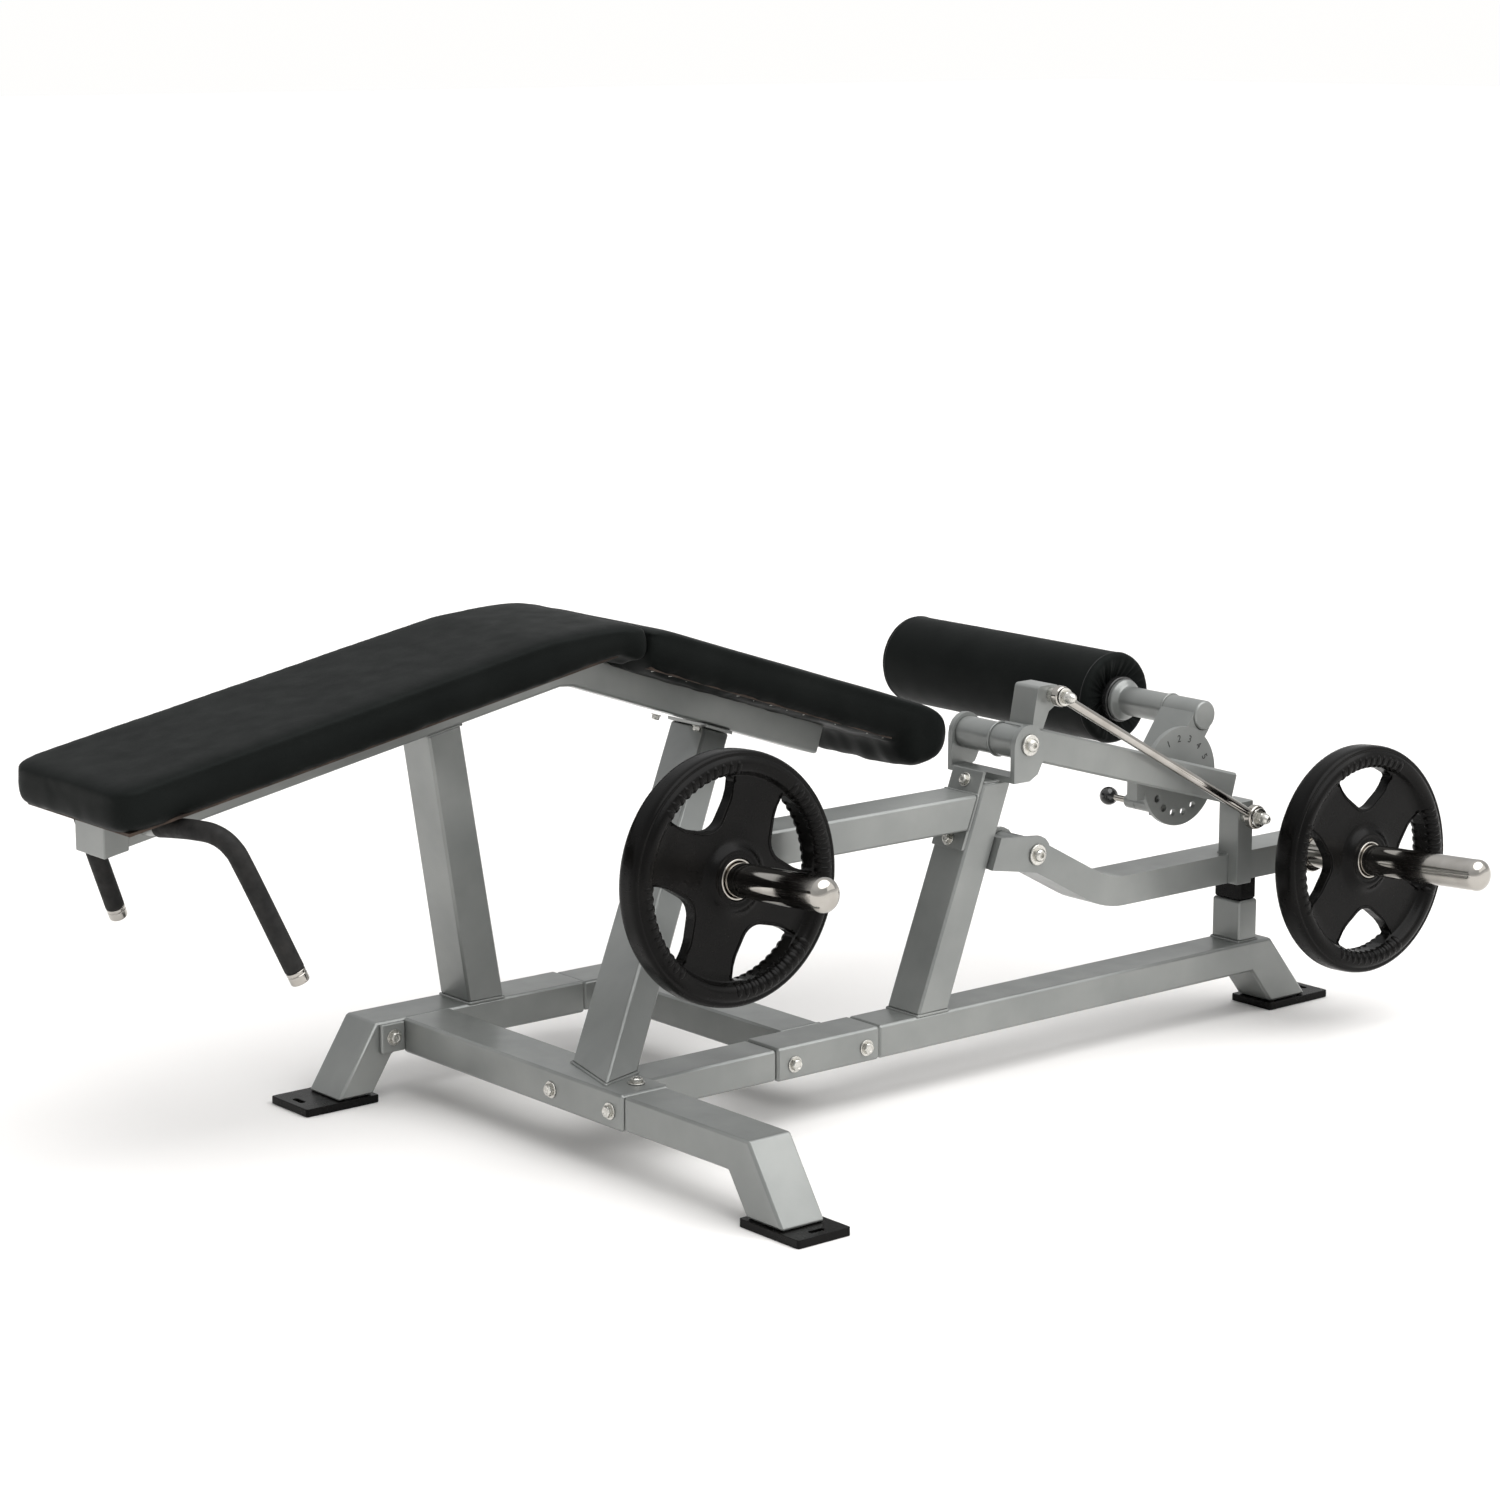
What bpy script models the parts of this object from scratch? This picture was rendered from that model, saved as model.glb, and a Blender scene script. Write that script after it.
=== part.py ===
"""Plate-loaded lying leg curl: frame, bench, lever with roller, weight arm, linkage and two plates.

Metres, +Z up. Points are written in a working frame: X along the machine from the head end,
Y from the loading side towards the bench, Z up from the floor. ROW_ORIGIN moves the working
frame so that the finished machine stands centred on its own origin.
"""

import math

import bmesh
import bpy
from mathutils import Vector

ROW_ORIGIN = (0.52300, 0.16075)
GAP = 0.0004
CHAMFER = 0.0035

# Base tubes: 2 x 3 inch section lying flat.
RAIL_TOP = 0.122
RAIL_BOTTOM = 0.071
MAIN_Y = (0.0, 0.0755)
LEFT_Y = (0.4935, 0.5755)
CROSS_X = (0.0, 0.0855)
REAR_CROSS_X = (0.393, 0.4715)
PAD_THICK = 0.012
SLEEVE_X = (0.3255, 0.5245)
LEFT_SLEEVE_END = 0.3445
STUB_END_Y = -0.048

# Posts.
POST_A_FOOT = ((0.1245, 0.1900), (0.4945, 0.5725))
POST_A_HEAD = ((0.0300, 0.0890), (0.4550, 0.5310))
POST_B_RISE = Vector((0.5449, 0.4485, 0.3890))
POST_B_FOOT = ((0.0138, 0.0065), (0.090, 0.030), (0.124, 0.1565), (0.048, 0.133))
POST_C_LEFT = (0.602, 0.385)
POST_C_RIGHT = (0.664, 0.372)
POST_C_TOP = 0.4650
UPPER_RAIL_Z = (0.396, 0.449)
UPPER_RAIL_START = 0.150
FLANGE = 0.006

# Bench: a bent tube with the two pads on it.
BENCH_Y = (0.4525, 0.5285)
BENCH_MID = 0.485
CHEST_RISE = 0.187
THIGH_FALL = -0.3415
CHEST_LOW = (-0.520, 0.454)
THIGH_LOW = (0.482, 0.5375)
THIGH_END = 0.787
BENCH_TUBE = 0.052
PAD_Y = (0.325, 0.645)
CHEST_PAD = 0.069
THIGH_PAD = 0.069
CHEST_PAD_HEAD = -0.566
PAD_SEAM = 0.350
ROLL_CENTRE = (0.9115, 0.4635)
ROLL_RADIUS = 0.0525

# Pivots, in the X-Z plane.
LEVER_PIVOT = (0.793, 0.522)
ARM_PIVOT = (0.835, 0.342)
ROD_TOP = (0.850, 0.5915)
ROD_BOTTOM = (1.289, 0.3435)
SELECTOR = (1.192, 0.4110)
ROLLER_AXIS = (1.2576, 0.5002)
PIN_AXIS = (1.1566, 0.3636)
ROD_Y = (-0.047, -0.033)
ROD_MID_Y = -0.040

# Lever and roller.
HUB_Y = (-0.024, 0.105)
HUB_RADIUS = 0.025
LEVER_Y = (-0.020, 0.031)
LEVER_SLOPE = -0.289
LEVER_END = 1.270
LEVER_TUBE = 0.051
LUG_TOP = 0.6065
DISC_Y = (0.0345, 0.0425)
DISC_RADIUS = 0.080
PIN_CIRCLE_STEP = 22.5
SWING_Y = (0.0465, 0.120)
SHAFT_RADIUS = 0.0165
SLEEVE_RADIUS = 0.0240
ROLLER_Y = (0.243, 0.747)
ROLLER_RADIUS = 0.0755

# Weight arm and plates.
ARM_Y = (0.0, 0.070)
ARM_BEND = (1.000, 0.2531)
ARM_END = 1.470
ARM_TUBE = 0.0472
HORN_RADIUS = 0.025
ARM_HORN = (1.428, -0.003, 0.2645)
ARM_HORN_TILT = 3.6
ARM_HORN_LENGTH = 0.397
ARM_PLATE_AT = 0.141
STORE_HORN = (0.185, -0.003, 0.4072)
STORE_HORN_TILT = 3.6
STORE_HORN_LENGTH = 0.278
STORE_PLATE_AT = 0.056
PLATE_RADIUS = 0.184
ARM_PLATE_TURN = -2.0
STORE_PLATE_TURN = 22.0

# Handles, near side; the far one is its mirror image about BENCH_MID.
HANDLE = (
    (-0.455, 0.4496, 0.488),
    (-0.4524, 0.391, 0.4963),
    (-0.4516, 0.330, 0.5036),
    (-0.4377, 0.296, 0.5005),
    (-0.4238, 0.275, 0.4838),
    (-0.4093, 0.262, 0.4491),
    (-0.3418, 0.236, 0.2864),
)
GRIP_RADIUS = 0.0145


def in_row(point):
    return Vector((point[0] - ROW_ORIGIN[0], point[1] - ROW_ORIGIN[1], point[2]))


def add_object(name, points, faces, pivot=(0.0, 0.0, 0.0)):
    """A closed mesh whose origin lies at the pivot."""
    origin = Vector(pivot)
    mesh = bpy.data.meshes.new(name)
    mesh.from_pydata([Vector(p) - origin for p in points], [], faces)
    built = bmesh.new()
    built.from_mesh(mesh)
    bmesh.ops.recalc_face_normals(built, faces=built.faces)
    built.to_mesh(mesh)
    built.free()
    obj = bpy.data.objects.new(name, mesh)
    obj.location = in_row(origin)
    bpy.context.scene.collection.objects.link(obj)
    return obj


def chamfer(obj, width=CHAMFER, segments=1):
    modifier = obj.modifiers.new("chamfer", "BEVEL")
    modifier.width = width
    modifier.segments = segments
    modifier.limit_method = "ANGLE"
    modifier.angle_limit = math.radians(50)
    return obj


def combine(obj, other, operation):
    """Joins or cuts obj with other, which becomes a hidden helper."""
    modifier = obj.modifiers.new(other.name, "BOOLEAN")
    modifier.object = other
    modifier.operation = operation
    modifier.solver = "EXACT"
    for collection in list(other.users_collection):
        collection.objects.unlink(other)
    HELPERS.objects.link(other)
    other.hide_render = True
    other.display_type = "WIRE"
    return obj


def prism(name, profile, axis, low, high, pivot=(0.0, 0.0, 0.0)):
    """Extrudes a profile along X, Y or Z. The profile holds the other two coordinates in order."""
    place = {
        "X": lambda a, b, along: (along, a, b),
        "Y": lambda a, b, along: (a, along, b),
        "Z": lambda a, b, along: (a, b, along),
    }[axis]
    count = len(profile)
    points = [place(a, b, low) for a, b in profile] + [place(a, b, high) for a, b in profile]
    faces = [tuple(range(count)), tuple(range(count, 2 * count))]
    for i in range(count):
        j = (i + 1) % count
        faces.append((i, j, count + j, count + i))
    return add_object(name, points, faces, pivot)


def box(name, x, y, z, pivot=(0.0, 0.0, 0.0)):
    profile = [(x[0], z[0]), (x[1], z[0]), (x[1], z[1]), (x[0], z[1])]
    return prism(name, profile, "Y", y[0], y[1], pivot)


def frame_of(direction):
    along = Vector(direction).normalized()
    helper = Vector((0, 0, 1)) if abs(along.z) < 0.9 else Vector((1, 0, 0))
    side = along.cross(helper).normalized()
    return along, side, side.cross(along)


def revolve(name, profile, base, direction, sides, pivot=(0.0, 0.0, 0.0), turn=0.0):
    """Turns (distance along, radius) points about an axis. Ends on the axis close the shape;
    otherwise the profile is a closed loop, which makes a ring."""
    along, side, up = frame_of(direction)
    base = Vector(base)
    points = []
    rows = []
    for distance, radius in profile:
        if radius == 0:
            rows.append([len(points)])
            points.append(base + along * distance)
            continue
        rows.append(list(range(len(points), len(points) + sides)))
        for k in range(sides):
            angle = 2 * math.pi * k / sides + math.radians(turn)
            ray = side * math.cos(angle) + up * math.sin(angle)
            points.append(base + along * distance + ray * radius)
    pairs = list(zip(rows, rows[1:]))
    if len(rows[0]) > 1:
        pairs.append((rows[-1], rows[0]))
    faces = []
    for low, high in pairs:
        for k in range(sides):
            n = (k + 1) % sides
            quad = [low[k % len(low)], low[n % len(low)], high[n % len(high)], high[k % len(high)]]
            faces.append(tuple(dict.fromkeys(quad)))
    return add_object(name, points, faces, pivot)


def rod(name, start, end, radius, sides=20, pivot=(0.0, 0.0, 0.0)):
    length = (Vector(end) - Vector(start)).length
    profile = [(0, 0), (0, radius), (length, radius), (length, 0)]
    return revolve(name, profile, start, Vector(end) - Vector(start), sides, pivot)


def y_pin(name, axis, profile, sides=20, pivot=(0.0, 0.0, 0.0)):
    """A turned piece about the Y direction through an X-Z point; profile distances are Y values."""
    return revolve(name, profile, (axis[0], 0, axis[1]), (0, 1, 0), sides, pivot)


def sweep(name, path, radius, sides=16):
    """A round bar along a path, mitred at each bend."""
    path = [Vector(p) for p in path]
    points = []
    up = None
    for i, here in enumerate(path):
        before = (here - path[i - 1]).normalized() if i else None
        after = (path[i + 1] - here).normalized() if i + 1 < len(path) else None
        along = ((before or after) + (after or before)).normalized()
        if up is None:
            _, _, up = frame_of(along)
        up = (up - along * up.dot(along)).normalized()
        side = along.cross(up)
        for k in range(sides):
            angle = 2 * math.pi * k / sides
            points.append(here + (side * math.cos(angle) + up * math.sin(angle)) * radius)
    last = len(points) - sides
    faces = [tuple(range(sides)), tuple(range(last, last + sides))]
    for row in range(len(path) - 1):
        for k in range(sides):
            n = (k + 1) % sides
            a = row * sides
            faces.append((a + k, a + n, a + sides + n, a + sides + k))
    return add_object(name, points, faces)


def loft(name, bottom, top):
    count = len(bottom)
    faces = [tuple(range(count)), tuple(range(count, 2 * count))]
    for i in range(count):
        j = (i + 1) % count
        faces.append((i, j, count + j, count + i))
    return add_object(name, list(bottom) + list(top), faces)


def arc(centre, radius, start, end, steps):
    found = []
    for k in range(steps + 1):
        angle = math.radians(start + (end - start) * k / steps)
        found.append((centre[0] + radius * math.cos(angle), centre[1] + radius * math.sin(angle)))
    return found


def rounded(corners, radius, steps=4):
    """A polygon with its corners rounded; radius is one number or one per corner."""
    found = []
    count = len(corners)
    radii = radius if isinstance(radius, (list, tuple)) else [radius] * count
    for i, here in enumerate(corners):
        here = Vector(here)
        to_last = (Vector(corners[i - 1]) - here).normalized()
        to_next = (Vector(corners[(i + 1) % count]) - here).normalized()
        half = math.acos(max(-1.0, min(1.0, to_last.dot(to_next)))) / 2
        if radii[i] == 0 or half > 1.5:
            found.append(tuple(here))
            continue
        reach = radii[i] / math.tan(half)
        centre = here + (to_last + to_next).normalized() * radii[i] / math.sin(half)
        first = here + to_last * reach - centre
        last = here + to_next * reach - centre
        start = math.atan2(first.y, first.x)
        swing = (math.atan2(last.y, last.x) - start + math.pi) % (2 * math.pi) - math.pi
        for k in range(steps + 1):
            angle = start + swing * k / steps
            found.append((centre.x + radii[i] * math.cos(angle), centre.y + radii[i] * math.sin(angle)))
    return found


def rectangle(x, y):
    return [(x[0], y[0]), (x[1], y[0]), (x[1], y[1]), (x[0], y[1])]


def slope_to(point, slope, x):
    return point[1] + slope * (x - point[0])


def build_base():
    low, high = RAIL_BOTTOM, RAIL_TOP
    left_leg = [(-0.118, PAD_THICK + GAP), (-0.055, PAD_THICK + GAP), (-0.0176, low)]
    left_front = left_leg + [(LEFT_SLEEVE_END, low), (LEFT_SLEEVE_END, high), (-0.048, high)]
    chamfer(prism("left_rail", left_front, "Y", *LEFT_Y))
    stretch = (LEFT_SLEEVE_END + GAP, REAR_CROSS_X[1])
    thin = (LEFT_Y[0] + 0.002, LEFT_Y[1] - 0.002)
    chamfer(box("left_rail_rear", stretch, thin, (low + 0.002, high - 0.002)))

    cross_y = (STUB_END_Y, LEFT_Y[0] - GAP)
    chamfer(box("cross_member", CROSS_X, cross_y, (low - 0.0015, high + 0.0015)))
    leg = [(STUB_END_Y - GAP, high), (-0.322, high), (-0.395, PAD_THICK + GAP)]
    leg += [(-0.3168, PAD_THICK + GAP), (-0.278, low), (STUB_END_Y - GAP, low)]
    chamfer(prism("right_leg", leg, "X", CROSS_X[0] + 0.003, CROSS_X[1] - 0.006))

    front = (CROSS_X[1] + GAP, SLEEVE_X[0] - GAP)
    slim = (MAIN_Y[0] + 0.002, MAIN_Y[1] - 0.002)
    chamfer(box("main_rail_front", front, slim, (low + 0.002, high - 0.002)))
    chamfer(box("rail_sleeve", SLEEVE_X, MAIN_Y, (low, high)))
    rear = [(SLEEVE_X[1] + GAP, low), (1.337, low), (1.384, PAD_THICK + GAP)]
    rear += [(1.468, PAD_THICK + GAP), (1.380, high), (SLEEVE_X[1] + GAP, high)]
    chamfer(prism("main_rail", rear, "Y", MAIN_Y[0] + 0.001, MAIN_Y[1] - 0.001))
    cross_span = (MAIN_Y[1] + GAP, LEFT_Y[0] + 0.002 - GAP)
    chamfer(box("rear_cross", REAR_CROSS_X, cross_span, (low + 0.001, high - 0.001)))

    pads = {
        "foot_left": ((-0.176, -0.047), (0.4895, 0.5880)),
        "foot_right": ((-0.002, 0.091), (-0.4330, -0.3080)),
        "foot_rear": ((1.376, 1.515), (-0.0050, 0.0820)),
    }
    for name, (x, y) in pads.items():
        chamfer(box(name, x, y, (0.0, PAD_THICK)), 0.0015)

    flange = (CROSS_X[0] - 0.043, CROSS_X[0] - GAP)
    chamfer(box("left_flange", flange, (0.4855, LEFT_Y[0] - GAP), (0.074, 0.1195)), 0.002)
    post = ((1.3125, 1.3555), (0.010, 0.071))
    chamfer(box("bumper_post", post[0], post[1], (high + GAP, 0.190)), 0.003)
    trim = [(post[0][0] + 0.002, post[0][1] - 0.002), (post[1][0] + 0.002, post[1][1] - 0.002)]
    chamfer(box("bumper", trim[0], trim[1], (0.190 + GAP, 0.2288)), 0.003)


def thigh_underside(x):
    return slope_to(THIGH_LOW, THIGH_FALL, x)


def build_posts():
    high = RAIL_TOP + GAP
    foot = rectangle(*POST_A_FOOT)
    head = rectangle(*POST_A_HEAD)
    bottom = [(x, y, high) for x, y in foot]
    top = [(x, y, slope_to(CHEST_LOW, CHEST_RISE, x) - GAP) for x, y in head]
    chamfer(loft("post_front", bottom, top))

    rise = POST_B_RISE / POST_B_RISE.z
    bottom = [(x, y, RAIL_TOP + 0.0015 + GAP) for x, y in POST_B_FOOT]
    top = []
    plate = 0.0065
    for x, y in POST_B_FOOT:
        reach = (thigh_underside(x) - plate - RAIL_TOP) / (1 - THIGH_FALL * rise.x)
        top.append((x + rise.x * reach, y + rise.y * reach, RAIL_TOP + reach))
    chamfer(loft("post_middle", bottom, top))

    build_bracket(top, plate)

    left = [(POST_C_LEFT[0] + POST_C_LEFT[1] * (z - RAIL_TOP), z) for z in (POST_C_TOP, high)]
    right = [(POST_C_RIGHT[0] + POST_C_RIGHT[1] * (z - RAIL_TOP), z) for z in (high, POST_C_TOP)]
    chamfer(prism("post_rear", left + right, "Y", MAIN_Y[0] + 0.0015, MAIN_Y[1] - 0.0015))


def build_bracket(top, plate):
    """Flange plate on the middle post, a little larger than the post's sloping end."""
    middle = [sum(corner[axis] for corner in top) / 4 for axis in (0, 1)]
    wide = 1.10
    lower = []
    upper = []
    for x, y, _ in top:
        x = middle[0] + (x - middle[0]) * wide
        y = middle[1] + (y - middle[1]) * wide
        lower.append((x, y, thigh_underside(x) - plate + GAP))
        upper.append((x, y, thigh_underside(x) - GAP))
    loft("bench_bracket", lower, upper)


def post_c_face(z, off):
    return POST_C_LEFT[0] + POST_C_LEFT[1] * (z - RAIL_TOP) - off


def build_upper_rail():
    low, high = UPPER_RAIL_Z
    off = FLANGE + 2 * GAP
    end = [(post_c_face(low, off), low), (post_c_face(high, off), high)]
    profile = [(UPPER_RAIL_START, low)] + end + [(UPPER_RAIL_START, high)]
    chamfer(prism("upper_rail", profile, "Y", *MAIN_Y))
    low, high = 0.366, POST_C_TOP + 0.017
    profile = [(post_c_face(low, GAP + FLANGE), low), (post_c_face(low, GAP), low)]
    profile += [(post_c_face(high, GAP), high), (post_c_face(high, GAP + FLANGE), high)]
    prism("upper_flange", profile, "Y", MAIN_Y[0] + 0.004, MAIN_Y[1] - 0.004)
    build_brace()


def build_brace():
    """Square tube from the upper rail's far side to the near face of the middle post."""
    rise = POST_B_RISE / POST_B_RISE.z
    near = Vector((*POST_B_FOOT[0], RAIL_TOP))
    across = Vector((*POST_B_FOOT[1], RAIL_TOP)) - near
    normal = across.cross(rise).normalized()
    if normal.y > 0:
        normal = -normal
    start = [(0.172, 0.402), (0.208, 0.402), (0.208, 0.440), (0.172, 0.440)]
    run = Vector((0.180, 0.205, -0.055))
    first = [Vector((x, MAIN_Y[1] + GAP, z)) for x, z in start]
    last = []
    for point in first:
        reach = (near + normal * 2 * GAP - point).dot(normal) / run.dot(normal)
        last.append(point + run * reach)
    chamfer(loft("brace", first, last), 0.002)


def bench_lines():
    """Where the chest and thigh runs of the tube meet, below and above."""
    tall = (BENCH_TUBE / math.cos(math.atan(CHEST_RISE)), BENCH_TUBE / math.cos(math.atan(THIGH_FALL)))
    low_x = (thigh_underside(0) - slope_to(CHEST_LOW, CHEST_RISE, 0)) / (CHEST_RISE - THIGH_FALL)
    high_x = low_x + (tall[1] - tall[0]) / (CHEST_RISE - THIGH_FALL)
    return tall, low_x, high_x


def chest_top(x):
    return slope_to(CHEST_LOW, CHEST_RISE, x) + bench_lines()[0][0]


def thigh_top(x):
    return thigh_underside(x) + bench_lines()[0][1]


def build_bench():
    _, low_x, high_x = bench_lines()
    head = CHEST_LOW[0]
    end = THIGH_END
    profile = [(head, chest_top(head)), (head, CHEST_LOW[1])]
    profile += [(low_x - 0.012, slope_to(CHEST_LOW, CHEST_RISE, low_x - 0.012))]
    profile += [(low_x + 0.012, thigh_underside(low_x + 0.012)), (end, thigh_underside(end))]
    profile += [(end + 0.0165, thigh_top(end + 0.0165)), (high_x, thigh_top(high_x))]
    chamfer(prism("bench_frame", profile, "Y", *BENCH_Y))
    chest = [(CHEST_PAD_HEAD, chest_top(CHEST_PAD_HEAD) + GAP), (high_x, chest_top(high_x) + GAP)]
    chest += [(PAD_SEAM, thigh_top(PAD_SEAM) + 2 * GAP)]
    chest += [(PAD_SEAM, 0.7040), (0.325, 0.7088), (0.297, 0.7110), (0.262, 0.7110), (0.215, 0.7080)]
    thick = CHEST_PAD / math.cos(math.atan(CHEST_RISE))
    chest += [(0.165, chest_top(0.165) + thick), (CHEST_PAD_HEAD, chest_top(CHEST_PAD_HEAD) + thick)]
    pad = prism("chest_pad", chest, "Y", *PAD_Y)
    round_plan(pad, CHEST_PAD_HEAD, 0.040)
    chamfer(pad, 0.014, 2)
    build_thigh_pad()


def round_plan(pad, head, radius):
    """Cuts a pad's two head corners round in plan."""
    for name, y, towards in (("near", PAD_Y[0], 1), ("far", PAD_Y[1], -1)):
        centre = (head + radius, y + towards * radius)
        curve = arc(centre, radius, 180, 180 + towards * 90, 5)
        corner = [(head - 0.02, centre[1])] + curve + [(centre[0], y - towards * 0.02)]
        corner += [(head - 0.02, y - towards * 0.02)]
        combine(pad, prism("corner_" + name, corner, "Z", 0.30, 0.80), "DIFFERENCE")


def build_thigh_pad():
    start = PAD_SEAM + GAP
    thick = THIGH_PAD / math.cos(math.atan(THIGH_FALL))
    lean = math.degrees(math.atan(THIGH_FALL))
    profile = [(start, thigh_top(start) + GAP), (start, 0.7010), (0.372, 0.6990)]
    profile += [(0.400, thigh_top(0.400) + thick)]
    profile += arc(ROLL_CENTRE, ROLL_RADIUS, 90 + lean, -152, 14)
    inner = 0.8635
    profile += [(inner, thigh_top(inner) + GAP)]
    chamfer(prism("thigh_pad", profile, "Y", *PAD_Y), 0.012, 2)


def mirror_path(path):
    """The far handle's path, which starts clear of the bench tube."""
    return [(x, max(2 * BENCH_MID - y, BENCH_Y[1] + 0.0035), z) for x, y, z in path]


def part_way(first, last, share):
    return tuple(a + (b - a) * share for a, b in zip(first, last))


def build_handles():
    for side, path in (("near", HANDLE), ("far", mirror_path(HANDLE))):
        stub_end = part_way(path[0], path[1], 0.55)
        grip_start = part_way(path[0], path[1], 0.56)
        grip_end = part_way(path[-2], path[-1], 0.885)
        cap_start = part_way(path[-2], path[-1], 0.887)
        rod("handle_" + side, path[0], stub_end, 0.0125, 16)
        sweep("grip_" + side, [grip_start] + list(path[1:-1]) + [grip_end], GRIP_RADIUS, 14)
        along = Vector(path[-1]) - Vector(cap_start)
        length = along.length
        dome = [(0, 0), (0, 0.0140), (length - 0.003, 0.0140), (length, 0.0105), (length, 0)]
        revolve("cap_" + side, dome, cap_start, along, 16)


def build_clevises():
    x, z = LEVER_PIVOT
    low = 0.4655
    ear = [(x - 0.031, low), (x + 0.001, low), (x + 0.018, low + 0.009), (x + 0.0295, low + 0.030)]
    ear += arc(LEVER_PIVOT, 0.031, -12, 180, 9)
    inner = (HUB_Y[0] - 0.0008, HUB_Y[1] + 0.0008)
    outer = (inner[0] - 0.009, inner[1] + 0.009)
    upper = prism("upper_clevis", ear, "Y", outer[0], inner[0])
    combine(upper, prism("upper_ear_far", ear, "Y", inner[1], outer[1]), "UNION")
    base = box("upper_clevis_base", (x - 0.0305, x + 0.0010), (outer[0] + 0.002, outer[1] - 0.002),
        (low, 0.4745))
    combine(upper, base, "UNION")
    bore = rod("upper_bore", (x, -0.1, z), (x, 0.2, z), 0.0085)
    combine(upper, bore, "DIFFERENCE")
    bolt_across("upper_pivot_bolt", LEVER_PIVOT, outer)

    x, z = ARM_PIVOT
    face = [(POST_C_RIGHT[0] + POST_C_RIGHT[1] * (h - RAIL_TOP) + GAP, h) for h in (0.378, 0.330)]
    inner = (ARM_Y[0] - 0.002, ARM_Y[1] + 0.002)
    outer = (inner[0] - 0.008, inner[1] + 0.008)
    ear = face + arc(ARM_PIVOT, 0.029, -115, 75, 8)
    lower = prism("lower_clevis", ear, "Y", outer[0], inner[0])
    combine(lower, prism("lower_ear_far", ear, "Y", inner[1], outer[1]), "UNION")
    back = [(a + 0.0006, b - 0.0005) for a, b in face[:1]] + [(a + 0.0006, b + 0.0005) for a, b in face[1:]]
    back += [(a + 0.010, b) for a, b in reversed(back)]
    combine(lower, prism("lower_clevis_base", back, "Y", outer[0] + 0.002, outer[1] - 0.002), "UNION")
    combine(lower, rod("lower_bore", (x, -0.1, z), (x, 0.2, z), 0.0085), "DIFFERENCE")
    bolt_across("lower_pivot_bolt", ARM_PIVOT, outer)


def bolt_across(name, axis, outer):
    """A pivot bolt with a washer and head at the near side and a nut at the far side."""
    low, high = outer
    profile = [(low - 0.012, 0), (low - 0.012, 0.0075), (low - 0.0095, 0.0100), (low - 0.004, 0.0100)]
    profile += [(low - 0.004, 0.0165), (low - GAP, 0.0165), (low - GAP, 0.0080)]
    profile += [(high + GAP, 0.0080), (high + GAP, 0.0165), (high + 0.003, 0.0165)]
    profile += [(high + 0.003, 0.0110), (high + 0.010, 0.0110), (high + 0.010, 0)]
    y_pin(name, axis, profile)


def lever_line(x):
    return LEVER_PIVOT[1] - 0.0004 + LEVER_SLOPE * (x - LEVER_PIVOT[0]) + 0.0036


def pivot_of(axis):
    return (axis[0], 0.0, axis[1])


def build_lever():
    pivot = pivot_of(LEVER_PIVOT)
    y_pin("lever_hub", LEVER_PIVOT, [(HUB_Y[0], 0.0085), (HUB_Y[0], HUB_RADIUS), (HUB_Y[1], HUB_RADIUS),
        (HUB_Y[1], 0.0085)], 24, pivot)
    half = LEVER_TUBE / 2 / math.cos(math.atan(LEVER_SLOPE))
    slant = LEVER_TUBE * math.sin(math.atan(LEVER_SLOPE))
    start = LEVER_PIVOT[0] + 0.004
    profile = [(start, lever_line(start) - half), (LEVER_END + slant, lever_line(LEVER_END + slant) - half)]
    profile += [(LEVER_END, lever_line(LEVER_END) + half), (start, lever_line(start) + half)]
    arm = chamfer(prism("lever_arm", profile, "Y", *LEVER_Y, pivot))
    combine(arm, rod("hub_space", (pivot[0], -0.1, pivot[2]), (pivot[0], 0.2, pivot[2]),
        HUB_RADIUS + 0.0006, 48), "DIFFERENCE")

    corners = [(0.8230, LUG_TOP), (0.8680, LUG_TOP), (0.8680, 0.5780), (0.8460, 0.5660)]
    corners += [(x, lever_line(x) + half + GAP) for x in (0.8340, 0.8115)]
    profile = rounded(corners, [0.006, 0.012, 0.006, 0, 0, 0], 3)
    prism("lever_lug", profile, "Y", *LEVER_Y, pivot)
    low = LEVER_Y[0] - GAP
    stud = [(-0.075, 0), (-0.072, 0.0055), (-0.066, 0.0095), (-0.058, 0.0105), (-0.052, 0.0105),
        (-0.052, 0.0135)]
    stud += [(-0.0495, 0.0135), (-0.0495, 0.0060), (-0.0310, 0.0060), (-0.0310, 0.0110), (low, 0.0110),
        (low, 0)]
    y_pin("rod_top_stud", ROD_TOP, stud, 18, pivot)

    pin = [(LEVER_Y[1] + GAP, 0), (LEVER_Y[1] + GAP, 0.0080), (SWING_Y[1] + 0.001, 0.0080)]
    pin += [(SWING_Y[1] + 0.001, 0.0140), (SWING_Y[1] + 0.007, 0.0140), (SWING_Y[1] + 0.007, 0)]
    y_pin("selector_pivot", SELECTOR, pin, 18, pivot)
    build_pin_bracket(pivot)


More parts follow.
